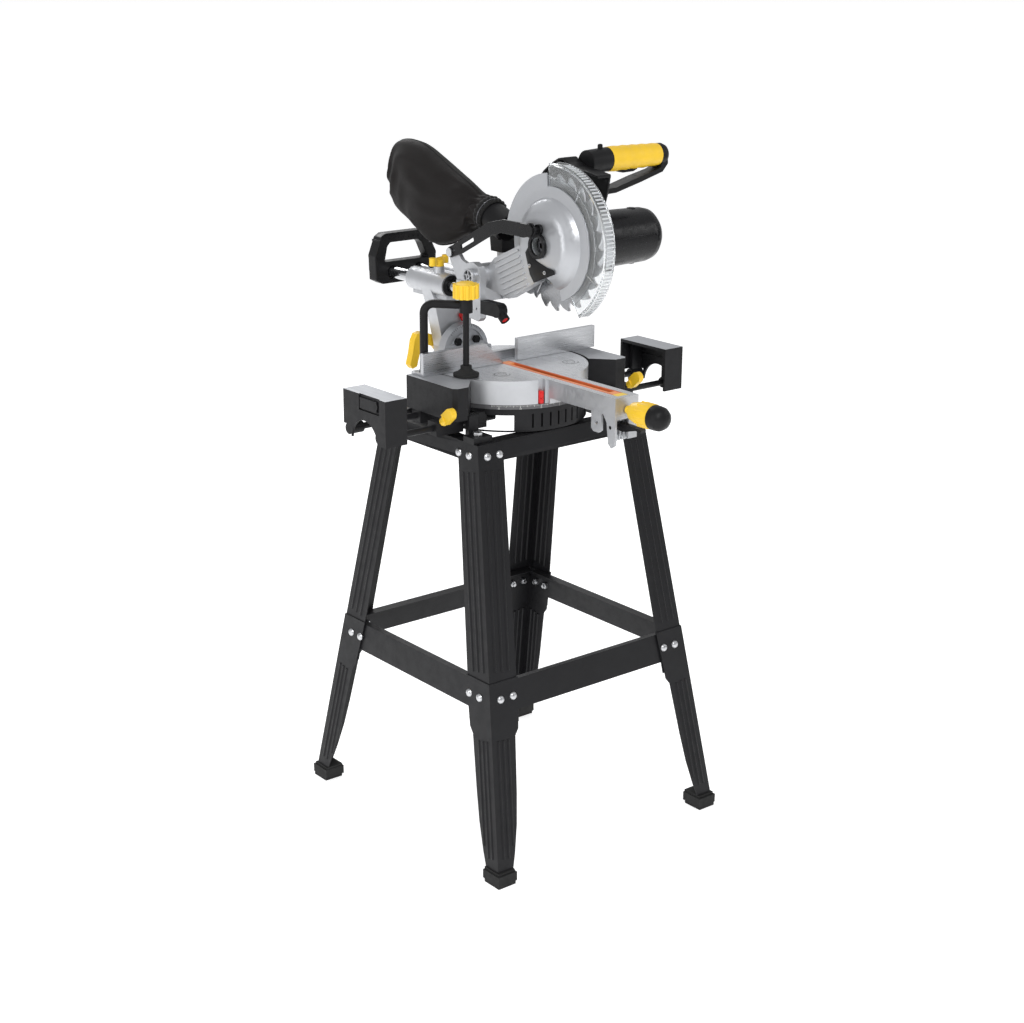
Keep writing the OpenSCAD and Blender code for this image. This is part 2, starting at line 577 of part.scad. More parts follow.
cover_prof = [[17.05, 24.4], [24, 24.4], [24, 43], [48, 41.5], [62, 32], [67, 24.4], [88, 24.4], [88, 27], [71, 28.4], [66.5, 35.5], [51, 46], [22, 49], [17.05, 49]];
module blade_cover() {
    color([0.8, 0.81, 0.83]) difference() {
        union() {
            translate([0, arbor_y, arbor_z]) rotate([0, -90, 0]) rotate_extrude() polygon(cover_prof);
            // rear upper skirt beside the teeth
            arc_band(70, 108, -27, -24.4, 8, 84, arbor_y, arbor_z);
        }
        // lower rear opening that lets the guard swing and shows the blade
        yz(-60, -20, [[arbor_y + 13, arbor_z - 27], [arbor_y - 20, arbor_z - 52], [arbor_y - 28, arbor_z - 86], [arbor_y - 28, arbor_z - 130], [arbor_y + 140, arbor_z - 130], [arbor_y + 140, arbor_z - 27]]);
        // seat against the arm
        yz(-45.2, -26.8, [[9, 924], [-7, 940], [-70, 968], [-92, 986], [-108, 950], [-110, 916], [-42, 880], [4, 889]]);
        for (i = [0:6]) translate([0, piv_y, piv_z]) rotate([-24.1, 0, 0]) translate([-48.3, -104.3, -46.3 + i * 9]) cube([4.6, 62.6, 3.6]);
    }
}
module arc_band(ri, ro, xa, xb, a0, a1, cy, cz) {
    // ring sector about an X axis; angle 0 points back (+Y) and 90 points up
    translate([xa, cy, cz]) multmatrix([[0, 0, 1, 0], [1, 0, 0, 0], [0, 1, 0, 0], [0, 0, 0, 1]])
        rotate([0, 0, a0]) rotate_extrude(angle = a1 - a0) translate([ri, 0]) square([ro - ri, xb - xa]);
}
module upper_shroud() {
    // arched hood over the top of the blade, closed on the motor side
    ro = [[101, 50], [99, 67], [89, 85], [73, 102], [55, 115], [38, 124], [26, 126], [16, 119], [0, 113], [-30, 110], [-54, 106]];
    ri = [[97, 48], [95, 65.5], [85.5, 82.5], [70.5, 98.5], [53, 111], [36.5, 120], [27.5, 121.8], [18, 115.2], [1, 109], [-30, 106], [-52, 102.5]];
    color([0.1, 0.1, 0.1]) translate([0, arbor_y, arbor_z]) union() {
        difference() {
            yz(18, 46.2, concat(ro, [[-53, 98], [92, 44]]));
            yz(17, 42.2, concat(ri, [[-70, 80], [110, 20]]));
        }
        difference() {
            yz(42.2, 46.2, concat(ro, [[-50, 80], [-40, 50], [54, 16], [90, 28]]));
            xcyl(50, 40, 8, -3, 10);
        }
    }
}
module motor_housing() {
    color([0.09, 0.09, 0.1]) translate([46.2, mot_y, mot_z]) rotate([0, 90, 0]) difference() {
        rotate_extrude() polygon([[0, 0], [50, 0], [50, 6], [motor_d / 2 + 1, 9], [motor_d / 2, 60], [motor_d / 2 - 1.5, 134], [motor_d / 2 - 4, 145], [motor_d / 2 - 11, 153], [motor_d / 2 - 22, 157.5], [0, 160]]);
        translate([0, 0, -1]) cylinder(r = motor_d / 2 - 4, h = 137);
        translate([0, 0, 131]) cylinder(r = 4.05, h = 22);
        for (s = [0, 180]) rotate([0, 0, s]) translate([0, 0, 115]) rotate([0, 90, 0]) cylinder(r = 7.05, h = 60);
    }
}
module motor_stator() {
    color([0.45, 0.45, 0.47]) translate([76, mot_y, mot_z]) rotate([0, 90, 0]) difference() { cylinder(r = motor_d / 2 - 4, h = 62); translate([0, 0, -1]) cylinder(r = 27, h = 64); }
}
module brush_caps() {
    color([0.05, 0.05, 0.05]) translate([161.2, mot_y, mot_z]) for (s = [0, 180]) rotate([s, 0, 0]) difference() {
        union() { translate([0, 0, 30]) cylinder(r = 7, h = 14.6); }
        translate([-0.8, -8, 43.2]) cube([1.6, 16, 2]);
    }
}
hz = 1088;
hy = -118;
hs = [-22, 0, 6];
module handle_frame() {
    color([0.1, 0.1, 0.1]) difference() {
        translate(hs) union() {
            // rising neck
            hull() { translate([36, hy + 4, 1070]) sphere(r = 21, $fn = 32); translate([72, hy, 1086]) sphere(r = 19, $fn = 32); }
            hull() { translate([72, hy, 1086]) sphere(r = 19, $fn = 32); translate([104, hy, hz]) rotate([0, 90, 0]) cylinder(r = 18.5, h = 6, $fn = 32); }
            // core under the grip and end cap
            xcyl(12.9, 104, hy, hz, 112);
            translate([214.4, hy, hz]) rotate([0, 90, 0]) rotate_extrude() polygon([[0, 0], [17.5, 0], [17.5, 8], [15, 14], [8, 17], [0, 18]]);
            // lower strut of the D
            xz(hy - 13, hy + 13, [[56, 1062], [76, 1040], [98, 1036], [120, 1037], [170, 1049], [218, 1062], [229, 1074], [228, 1088], [216, 1088], [214.4, 1069.3], [205, 1065.5], [168, 1057.5], [120, 1045], [98, 1044.5], [89, 1048], [84, 1058], [76, 1076], [56, 1080]]);
        }
        // pocket for the trigger and the lock-off button
        translate(hs) box([128.4, hy - 6.3, hz - 30], [171.6, hy + 6.3, hz - 4.5]);
        translate(hs) zcyl(4.05, 96, hy, hz + 6, 30);
        // clear the shroud below
        box([-30, -260, 940], [46.2, 20, 1160]);
    }
}
module handle_grip() {
    color([0.93, 0.75, 0.1]) translate(hs) difference() {
        translate([110, hy, hz]) rotate([0, 90, 0]) rotate_extrude() polygon([[13, 0], [19, 0], [19.8, 14], [18.8, 24], [19.6, 34], [18.4, 44], [19.2, 54], [18, 64], [18.8, 74], [17.6, 84], [18.2, 94], [17.5, 104.4], [13, 104.4]]);
        box([128, hy - 6.7, hz - 30], [172, hy + 6.7, hz - 10]);
    }
}
module trigger() {
    color([0.12, 0.12, 0.12]) translate(hs) union() {
        xz(hy - 5.8, hy + 5.8, [[130, hz - 9.5], [130, hz - 20], [140, hz - 22.5], [162, hz - 22], [170, hz - 19], [170, hz - 9.5]]);
    }
}
module lock_off_button() {
    color([0.12, 0.12, 0.12]) translate(hs) { zcyl(4, 96, hy, hz + 9, 14); translate([96, hy, hz + 23]) cylinder(r1 = 4, r2 = 2.6, h = 1.4); }
}
module dust_chute() {
    // round spout on a short foot, open towards the back of the blade
    color([0.08, 0.08, 0.08]) difference() {
        union() {
            translate([-3, 36, 990]) rotate([-70, 0, 0]) translate([0, 0, -27]) cylinder(r = 24, h = 57);
            yz(-14, 12, [[12, 942], [41, 942], [46, 980], [14, 980]]);
        }
        translate([-3, 36, 990]) rotate([-70, 0, 0]) translate([0, 0, -60]) cylinder(r = 20.5, h = 100);
    }
}
module dust_bag() {
    color([0.12, 0.1, 0.1]) difference() {
        hull() {
            translate([-3, 36, 990]) rotate([-70, 0, 0]) translate([0, 0, 14]) cylinder(r = 27, h = 20, $fn = 24);
            translate([-8, 130, 1012]) scale(1) sphere(r = 44, $fn = 20);
            translate([-8, 180, 990]) sphere(r = 47, $fn = 20);
            translate([-8, 268, 1071]) sphere(r = 39, $fn = 20);
            translate([-8, 290, 1032]) sphere(r = 30, $fn = 20);
        }
        translate([-3, 36, 990]) rotate([-70, 0, 0]) translate([0, 0, -6]) cylinder(r = 24, h = 36.1);
        hull() {
            translate([-3, 36, 990]) rotate([-70, 0, 0]) translate([0, 0, 29]) cylinder(r = 20, h = 3, $fn = 24);
            translate([-8, 130, 1012]) sphere(r = 41, $fn = 20);
            translate([-8, 180, 990]) sphere(r = 44, $fn = 20);
            translate([-8, 268, 1071]) sphere(r = 36, $fn = 20);
            translate([-8, 290, 1032]) sphere(r = 27, $fn = 20);
        }
    }
}

// ---------- blade, spindle and drive ----------
module saw_blade() {
    R = blade_d / 2; n = blade_teeth;
    color([0.62, 0.63, 0.65]) translate([x0 - 1.2, arbor_y, arbor_z]) multmatrix([[0, 0, 1, 0], [1, 0, 0, 0], [0, 1, 0, 0], [0, 0, 0, 1]])
        linear_extrude(height = 2.4) difference() {
            polygon([for (i = [0:n - 1], k = [0:4]) let(a = (i + [0, 0.12, 0.5, 0.72, 0.8][k]) * 360 / n, r = [R, R - 1.2, R - 7, R - 13, R - 11][k]) [r * cos(a), r * sin(a)]]);
            circle(r = 10);
            for (a = [30:90:300]) rotate(a) { translate([70, 0]) circle(r = 3.5); translate([70, -0.9]) square([40, 1.8]); }
        }
}
module arbor() {
    color([0.25, 0.25, 0.26]) {
        xcyl(7.5, -9.8, arbor_y, arbor_z, 44);
        xcyl(10, -12.2, arbor_y, arbor_z, 4);
        xcyl(13, -9.8, arbor_y, arbor_z, 8);
        xcyl(13, -20.2, arbor_y, arbor_z, 8);
        xcyl(21, 18, arbor_y, arbor_z, 9);
        difference() { xcyl(9, -46, arbor_y, arbor_z, 26.5); translate([-47, arbor_y, arbor_z]) rotate([0, 90, 0]) hexprism(8, 9); }
    }
}
gc = norm([arbor_y - mot_y, arbor_z - mot_z]);
module armature() {
    color([0.55, 0.4, 0.25]) {
        xcyl(4, 1, mot_y, mot_z, 195);
        xcyl(gc - 21.4, 16, mot_y, mot_z, 13);
        xcyl(26, 78, mot_y, mot_z, 58);
        xcyl(14, 150, mot_y, mot_z, 22);
        xcyl(34, 54, mot_y, mot_z, 10);
    }
}
g0 = 85;
g1 = 238;
module lower_guard() {
    // one sector with a side wall and a rim, a hub disc and a bearing sleeve
    color([0.8, 0.82, 0.84]) difference() {
        union() {
            translate([-24, arbor_y, arbor_z]) multmatrix([[0, 0, 1, 0], [1, 0, 0, 0], [0, 1, 0, 0], [0, 0, 0, 1]])
                rotate([0, 0, g0]) rotate_extrude(angle = g1 - g0)
                    polygon([[55, 0], [guard_r, 0], [guard_r, 20], [116.5, 20], [116.5, 2], [55, 2]]);
            xcyl(62, -24, arbor_y, arbor_z, 2);
            xcyl(17, -52, arbor_y, arbor_z, 28.8);
        }
        xcyl(14, -53, arbor_y, arbor_z, 33);
    }
}
cp_y = arbor_y + crank_r * cos(crank_a);
cp_z = arbor_z + crank_r * sin(crank_a);
module guard_crank() {
    color([0.1, 0.1, 0.1]) {
        difference() {
            union() {
                xcyl(19.5, -56, arbor_y, arbor_z, 5.5);
                hull() { xcyl(8, -56, cp_y, cp_z, 5.5); xcyl(8, -56, arbor_y + 6, arbor_z + 14, 5.5); }
            }
            xcyl(14, -60, arbor_y, arbor_z, 12);
            xcyl(17, -52, arbor_y, arbor_z, 12);
        }
        xcyl(4, -72, cp_y, cp_z, 17);
        xcyl(9.6, -74, cp_y, cp_z, 2.4);
    }
}
module guard_link() {
    dy = link_y - cp_y; dz = link_z - cp_z; L = norm([dy, dz]); a = atan2(dz, dy);
    color([0.1, 0.1, 0.1]) translate([-71, cp_y, cp_z]) rotate([a, 0, 0]) difference() {
        union() {
            yz(0, 4, [[0, -9], [18, -8], [70, 8], [95, 8], [L - 30, -7], [L, -8.5], [L, 8.5], [L - 30, 14], [98, 29], [58, 27], [0, 9]]);
            xcyl(11.5, 0, 0, 0, 4);
            xcyl(9, 0, L, 0, 4);
        }
        xcyl(7.4, -1, 0, 0, 6);
        yz(-1, 5, [[L - 66, 7], [L - 30, 0.5], [L - 30, 6.5], [L - 66, 13]]);
        xcyl(4.05, -1, L, 0, 6);
    }
}

// ---------- work clamp ----------
ct = 6.6;
module elbow(R, a) { rotate_extrude(angle = a) translate([R, 0]) circle(r = ct); }
clamp_d = norm([scr_x - post_x, scr_y - post_y]);
clamp_a = atan2(scr_y - post_y, scr_x - post_x);
module clamp_arm() {
    az_ = 862;
    color([0.08, 0.08, 0.08]) translate([post_x, post_y, 0]) rotate([0, 0, clamp_a]) difference() {
        union() {
            zcyl(7, 0, 0, zt - 39, 60);
            zcyl(ct, 0, 0, zt + 10, az_ - zt - 10);
            translate([16, 0, az_]) rotate([90, 0, 0]) rotate([0, 0, 90]) elbow(16, 90);
            xcyl(ct, 16, 0, az_ + 16, clamp_d - 24);
            zcyl(10.5, clamp_d, 0, az_ + 4, 22);
        }
        zcyl(5.05, clamp_d, 0, az_, 40);
    }
}
module clamp_screw() {
    color([0.1, 0.1, 0.1]) { zcyl(5, scr_x, scr_y, zt + 8, 128); }
}
module clamp_knob() {
    color([0.93, 0.75, 0.1]) translate([scr_x, scr_y, zt + 124]) difference() {
        union() {
            cylinder(r = 18, h = 22);
            for (a = [0:30:330]) rotate([0, 0, a]) translate([17.5, 0, 0]) cylinder(r = 3.2, h = 22);
            translate([0, 0, 22]) cylinder(r1 = 16, r2 = 11, h = 3);
        }
        translate([0, 0, -1]) cylinder(r = 5, h = 13);
    }
}
module clamp_pad() {
    color([0.06, 0.06, 0.06]) translate([scr_x, scr_y, zt + 0.4]) difference() {
        union() { cylinder(r = 20.5, h = 5); translate([0, 0, 5]) cylinder(r1 = 18, r2 = 9, h = 6); cylinder(r = 9, h = 17); }
        translate([0, 0, 7]) cylinder(r = 5.05, h = 20);
    }
}

// ---------- work wings ----------
module wing_shape(lx) {
    // lx: inner face; the wing grows outward (toward -X) from it
    difference() {
        union() {
            difference() {
                box([lx - 40, -89, zt - 72], [lx, 22, zt]);
                box([lx - 36, -85, zt - 80], [lx + 1, 18, zt - 5]);
                // arch in the outer wall
                translate([lx - 50, -33, zt - 74]) rotate([0, 90, 0]) cylinder(r = 34, h = 60);
                box([lx - 60, -67, zt - 100], [lx + 5, 1, zt - 74]);
                box([lx - 45, 2, zt - 80], [lx + 5, 30, zt - 54]);
            }
            box([lx - 38, -82, zt - 30], [lx - 35, 14, zt - 26]);
            for (y = [rod_y1, rod_y2]) {
                xcyl(9, lx - 38, y, rod_z, 24);
                xcyl(5, lx - 37, y, rod_z, 220);
            }
            box([lx - 38, rod_y2 - 4, rod_z], [lx - 16, rod_y2 + 4, zt - 4]);
            box([lx - 38, rod_y1 - 4, rod_z], [lx - 16, rod_y1 + 4, zt - 4]);
        }
        children();
    }
}
lx_l = x0 - base_half_w - wing_gap_l + 4;
module wing_left() {
    color([0.13, 0.13, 0.14]) wing_shape(lx_l) {
        box([lx_l - 41, -73, zt - 25], [lx_l - 37.4, -20, zt + 1]);
        xcyl(2.55, lx_l - 50, -62, zt - 13, 20);
    }
}
module wing_right() {
    color([0.13, 0.13, 0.14]) translate([2 * x0, 0, 0]) mirror([1, 0, 0]) wing_shape(x0 - base_half_w - wing_gap_r + 4);
}
module wing_stop_left() {
    color([0.13, 0.13, 0.14]) { box([lx_l - 40, -66, zt - 22], [lx_l - 37.8, -22, zt - 5]); xcyl(6, lx_l - 40, -62, zt - 13, 2.2); xcyl(2.5, lx_l - 40, -62, zt - 13, 9); }
}
module wing_knob(x) {
    translate([x, rod_y1, rod_z]) rotate([50, 0, 0]) {
        translate([0, 0, 5.4]) cylinder(r = 3, h = 16);
        translate([0, 0, 18]) cylinder(r = 7, h = 10);
        translate([-4.5, -9, 25]) cube([9, 18, 18]);
        translate([-4.5, 0, 43]) rotate([0, 90, 0]) cylinder(r = 9, h = 9);
    }
}
module wing_knob_left() { color([0.93, 0.75, 0.1]) wing_knob(x0 - bw - 15); }
module wing_knob_right() { color([0.93, 0.75, 0.1]) wing_knob(x0 + bw + 15); }

module place() { translate([-off_x, -off_y, 0]) children(); }

place() upper_legs();
place() lower_legs();
place() top_rails();
place() mid_rails();
place() rubber_feet();
place() stand_bolts();
place() stand_nuts();
place() saw_base();
place() mitre_scale_ring();
place() fence();
place() base_bolts();
place() turntable();
place() kerf_insert();
place() mitre_pointer();
place() bevel_trunnion();
place() bevel_stop_bolts();
place() detent_bracket();
place() mitre_lock_handle();
place() mitre_lock_cap();
place() detent_lever();
place() bevel_arm();
place() rail_bushes();
place() bevel_pointer();
place() bevel_pin();
place() bevel_lock_lever();
place() slide_lock_knob();
place() slide_rails();
place() rear_carry_handle();
place() head_bracket();
place() laser_unit();
place() laser_lens();
place() chop_pin();
place() head_casting();
place() blade_cover();
place() upper_shroud();
place() motor_housing();
place() motor_stator();
place() brush_caps();
place() handle_frame();
place() handle_grip();
place() dust_chute();
place() dust_bag();
place() trigger();
place() lock_off_button();
place() saw_blade();
place() arbor();
place() armature();
place() lower_guard();
place() guard_crank();
place() guard_link();
place() clamp_arm();
place() clamp_screw();
place() clamp_knob();
place() clamp_pad();
place() wing_left();
place() wing_right();
place() wing_stop_left();
place() wing_knob_left();
place() wing_knob_right();
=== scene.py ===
import bpy, bmesh, math, random
from mathutils import Vector, Matrix


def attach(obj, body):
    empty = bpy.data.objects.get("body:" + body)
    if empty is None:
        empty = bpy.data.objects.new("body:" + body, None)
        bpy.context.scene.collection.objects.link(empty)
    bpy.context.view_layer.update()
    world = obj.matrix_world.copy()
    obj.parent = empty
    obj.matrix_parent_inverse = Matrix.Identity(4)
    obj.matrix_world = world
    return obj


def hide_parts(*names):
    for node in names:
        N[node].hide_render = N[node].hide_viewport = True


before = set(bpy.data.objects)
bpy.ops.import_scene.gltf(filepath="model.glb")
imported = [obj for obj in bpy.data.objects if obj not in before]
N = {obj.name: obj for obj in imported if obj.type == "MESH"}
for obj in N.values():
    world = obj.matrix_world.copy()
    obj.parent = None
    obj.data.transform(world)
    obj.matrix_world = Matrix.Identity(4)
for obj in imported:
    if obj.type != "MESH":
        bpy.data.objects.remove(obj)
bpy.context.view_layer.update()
rnd = random.Random(7)
sc = bpy.context.scene
OX, OY = 0.011, 0.025685          # from the stand-centred dimensions to the row frame


def P(x, y, z):
    return Vector((x / 1000 + OX, y / 1000 + OY, z / 1000))


# ------------------------------------------------------------------ camera, light, floor
az, el = math.radians(-38.135), math.radians(17.837)
right = Vector((math.cos(az), math.sin(az), 0))
back = Vector((math.sin(az) * math.cos(el), -math.cos(az) * math.cos(el), math.sin(el)))
up = back.cross(right)
cd = bpy.data.cameras.new("cam")
cd.sensor_width = 36
cd.lens = 1820.0 * 36 / 1024
cd.shift_x, cd.shift_y = 31.2 / 1024, 1.9 / 1024
cd.clip_end = 50
cam = bpy.data.objects.new("cam", cd)
m = Matrix((right, up, back)).transposed().to_4x4()
m.translation = P(-1822.5, -2236.5, 1434.6)
cam.matrix_world = m
sc.collection.objects.link(cam)
sc.camera = cam
sc.view_settings.view_transform = "Standard"
sc.view_settings.look = "None"

world = bpy.data.worlds.new("w")
sc.world = world
world.use_nodes = True
world.node_tree.nodes["Background"].inputs[0].default_value = (0.98, 0.985, 1, 1)
world.node_tree.nodes["Background"].inputs[1].default_value = 0.55


def area(name, loc, target, size, power, size_y=None):
    ld = bpy.data.lights.new(name, "AREA")
    ld.energy = power
    ld.shape = "RECTANGLE"
    ld.size, ld.size_y = size, size_y or size
    ob = bpy.data.objects.new(name, ld)
    ob.location = loc
    ob.rotation_euler = (Vector(target) - Vector(loc)).to_track_quat("-Z", "Y").to_euler()
    sc.collection.objects.link(ob)


area("key", (-1.6, -2.4, 3.0), (0, 0, 0.75), 1.5, 70)
area("fill", (2.8, -1.6, 1.9), (0, 0, 0.8), 1.4, 26)
area("rim", (0.8, 2.6, 2.6), (0, 0, 0.8), 1.4, 46)
area("left", (-3.0, 0.4, 1.4), (0, 0, 0.8), 1.0, 20, 2.0)


# ------------------------------------------------------------------ materials
class M:
    """A Principled material with object-space procedural detail."""

    def __init__(self, name, color, rough=0.5, metal=0.0, **kw):
        self.m = bpy.data.materials.new(name)
        self.m.use_nodes = True
        self.t = self.m.node_tree
        self.b = self.t.nodes["Principled BSDF"]
        self.b.inputs["Base Color"].default_value = (*color, 1)
        self.b.inputs["Roughness"].default_value = rough
        self.b.inputs["Metallic"].default_value = metal
        for k, v in kw.items():
            self.b.inputs[k.replace("_", " ")].default_value = v
        self.co = self.t.nodes.new("ShaderNodeTexCoord").outputs["Object"]
        self.color, self.rough = color, rough
        self.height = None
        self.cur = None

    def n(self, kind, **kw):
        nd = self.t.nodes.new(kind)
        for k, v in kw.items():
            setattr(nd, k, v)
        return nd

    def link(self, a, b):
        self.t.links.new(a, b)

    def mapped(self, scale=(1, 1, 1), loc=(0, 0, 0), rot=(0, 0, 0)):
        mp = self.n("ShaderNodeMapping")
        mp.inputs["Scale"].default_value = scale
        mp.inputs["Location"].default_value = loc
        mp.inputs["Rotation"].default_value = rot
        self.link(self.co, mp.inputs["Vector"])
        return mp.outputs[0]

    def noise(self, scale, detail=3, rough=0.6, co=None, stretch=None):
        nd = self.n("ShaderNodeTexNoise")
        nd.inputs["Scale"].default_value = scale
        nd.inputs["Detail"].default_value = detail
        nd.inputs["Roughness"].default_value = rough
        self.link(co or (self.mapped(stretch) if stretch else self.co), nd.inputs["Vector"])
        return nd.outputs["Fac"]

    def ramp(self, fac, a, b, lo=0.0, hi=1.0):
        mr = self.n("ShaderNodeMapRange", clamp=True)
        self.link(fac, mr.inputs["Value"])
        mr.inputs["From Min"].default_value, mr.inputs["From Max"].default_value = a, b
        mr.inputs["To Min"].default_value, mr.inputs["To Max"].default_value = lo, hi
        return mr.outputs[0]

    def math(self, op, a, b=None):
        nd = self.n("ShaderNodeMath", operation=op)
        for i, v in enumerate((a, b)):
            if v is None:
                continue
            if isinstance(v, (int, float)):
                nd.inputs[i].default_value = v
            else:
                self.link(v, nd.inputs[i])
        return nd.outputs[0]

    def mixc(self, fac, a, b):
        nd = self.n("ShaderNodeMix", data_type="RGBA")
        if isinstance(fac, (int, float)):
            nd.inputs["Factor"].default_value = fac
        else:
            self.link(fac, nd.inputs["Factor"])
        for key, v in (("A", a), ("B", b)):
            i = [x for x in nd.inputs if x.name == key and x.type == "RGBA"][0]
            if isinstance(v, tuple):
                i.default_value = (*v, 1)
            else:
                self.link(v, i)
        return [o for o in nd.outputs if o.type == "RGBA"][0]

    def vary(self, scale, amount, dark=0.75):
        """colour that drifts a little over the surface"""
        c2 = tuple(c * dark for c in self.color)
        f = self.ramp(self.noise(scale, 4), 0.35, 0.7, 0, amount)
        self.cur = self.mixc(f, self.cur or self.color, c2)
        self.link(self.cur, self.b.inputs["Base Color"])
        return self

    def over(self, fac, color):
        self.cur = self.mixc(fac, self.cur or self.color, color)
        self.link(self.cur, self.b.inputs["Base Color"])
        return self

    def roughen(self, scale, lo, hi, stretch=None):
        r = self.ramp(self.noise(scale, 3, stretch=stretch), 0.35, 0.65, lo, hi)
        self.link(r, self.b.inputs["Roughness"])
        self.r = r
        return self

    def bump(self, h, strength=0.3, dist=0.0002):
        bp = self.n("ShaderNodeBump")
        bp.inputs["Strength"].default_value = strength
        bp.inputs["Distance"].default_value = dist
        self.link(h, bp.inputs["Height"])
        if self.height:
            self.link(self.height, bp.inputs["Normal"])
        self.height = bp.outputs[0]
        self.link(self.height, self.b.inputs["Normal"])
        return self

    def axis(self, i):
        s = self.n("ShaderNodeSeparateXYZ")
        self.link(self.co, s.inputs[0])
        return s.outputs[i]

    def normal(self, i):
        g = self.n("ShaderNodeNewGeometry")
        s = self.n("ShaderNodeSeparateXYZ")
        self.link(g.outputs["Normal"], s.inputs[0])
        return s.outputs[i]

    def metal(self, fac, a=0.0, b=1.0):
        self.link(self.ramp(fac, 0, 1, a, b), self.b.inputs["Metallic"])
        return self


def powder(name, c=(0.0075, 0.0075, 0.0086)):
    k = M(name, c, 0.42, 0.0, Specular_IOR_Level=0.22)
    k.vary(9, 0.5, 1.5).roughen(60, 0.36, 0.5)
    k.bump(k.noise(900, 2), 0.22, 0.0003).bump(k.noise(14, 2), 0.05, 0.002)
    # faint dust on faces that look up
    k.over(k.math("MULTIPLY", k.ramp(k.normal(2), 0.7, 1, 0, 0.06), k.noise(40, 4)), (0.15, 0.145, 0.14))
    return k.m


def plastic(name, c, rough=0.45, grain=1400, g=0.25, dark=0.8, wear=None):
    k = M(name, c, rough, 0.0, Specular_IOR_Level=0.2 if max(c) < 0.1 else 0.45)
    k.vary(22, 0.6, dark).roughen(90, rough - 0.07, rough + 0.08)
    k.bump(k.noise(grain, 2), g, 0.0002)
    if wear:
        k.over(k.ramp(k.noise(170, 6, 0.75), 0.66, 0.72, 0, 0.35), wear)
    return k.m


def cast(name, c=(0.50, 0.51, 0.53), rough=0.40, metal=0.7, top=None):
    k = M(name, c, rough, metal)
    k.vary(16, 0.6, 0.82).roughen(120, rough - 0.06, rough + 0.1)
    k.bump(k.noise(700, 3), 0.35, 0.0004).bump(k.noise(60, 3), 0.1, 0.001)
    if top is not None:
        machined(k, top)
    return k.m


def machined(k, z, base_metal=0.9, col=(0.72, 0.73, 0.75), rough=0.24):
    f = k.math("MULTIPLY", k.math("GREATER_THAN", k.axis(2), z), k.math("GREATER_THAN", k.normal(2), 0.93))
    lines = k.noise(1300, 2, stretch=(1, 0.015, 1))
    k.over(f, k.mixc(k.ramp(lines, 0.35, 0.65, 0, 0.5), col, tuple(c * 0.78 for c in col)))
    old = k.b.inputs["Roughness"].links[0].from_socket
    mx = k.n("ShaderNodeMix", data_type="FLOAT")
    k.link(f, mx.inputs[0])
    k.link(old, mx.inputs[2])
    k.link(k.ramp(lines, 0.3, 0.7, rough, rough + 0.14), mx.inputs[3])
    k.link(mx.outputs[0], k.b.inputs["Roughness"])
    k.metal(f, k.b.inputs["Metallic"].default_value, base_metal)
    return k


def steel(name, c=(0.6, 0.61, 0.63), rough=0.28, stretch=(1, 0.03, 1), scale=500):
    k = M(name, c, rough, 1.0)
    k.vary(30, 0.5, 0.85).roughen(scale, rough - 0.08, rough + 0.12, stretch=stretch)
    k.bump(k.noise(scale, 2, stretch=stretch), 0.12, 0.0001)
    return k.m


mt = {}
mt["stand"] = powder("stand_steel")
mt["base"] = None
k = M("base_black", (0.008, 0.008, 0.009), 0.45, 0.0, Specular_IOR_Level=0.22)
k.vary(14, 0.6, 1.5).roughen(90, 0.38, 0.52)
k.bump(k.noise(800, 3), 0.3, 0.0003).bump(k.noise(50, 3), 0.08, 0.001)
mt["base"] = machined(k, 0.7632, 0.75, (0.40, 0.41, 0.43), 0.5).m
mt["cast_top"] = cast("cast_table", (0.52, 0.53, 0.55), 0.36, 0.75, top=0.7632)
mt["cast"] = cast("cast_alu")
k = M("fence_alu", (0.56, 0.57, 0.59), 0.3, 0.9)
k.vary(12, 0.5, 0.85).roughen(1300, 0.24, 0.38, stretch=(0.02, 1, 1))
k.bump(k.noise(1300, 2, stretch=(0.02, 1, 1)), 0.1, 0.0001)
mt["fence"] = k.m
k = M("silver_paint", (0.42, 0.43, 0.45), 0.34, 0.6, Coat_Weight=0.25, Coat_Roughness=0.2)
k.vary(20, 0.4, 0.9).roughen(200, 0.3, 0.42)
k.bump(k.noise(1500, 2), 0.12, 0.0002)
mt["silver"] = k.m
mt["black"] = plastic("black_plastic", (0.006, 0.006, 0.0066), 0.42, 1300, 0.3, 1.5)
mt["black_gloss"] = plastic("black_gloss", (0.006, 0.006, 0.0068), 0.28, 900, 0.12, 1.5)
mt["yellow"] = plastic("yellow_plastic", (0.83, 0.53, 0.025), 0.42, 1100, 0.3, 0.82)
mt["rubber"] = plastic("rubber", (0.016, 0.016, 0.016), 0.7, 600, 0.4, 1.6)
mt["red"] = plastic("red_plastic", (0.6, 0.012, 0.012), 0.2, 900, 0.05, 0.8)
mt["zinc"] = steel("zinc", (0.58, 0.585, 0.6), 0.3, (1, 1, 1), 300)
mt["steel"] = steel("steel")
mt["dark_steel"] = steel("dark_steel", (0.12, 0.12, 0.13), 0.35, (1, 1, 1), 300)
mt["copper"] = steel("copper", (0.6, 0.3, 0.15), 0.35, (1, 0.1, 0.1), 900)
k = M("chrome", (0.46, 0.465, 0.48), 0.16, 1.0)
k.vary(20, 0.3, 0.9).roughen(300, 0.07, 0.18, stretch=(1, 0.04, 1))
mt["chrome"] = k.m

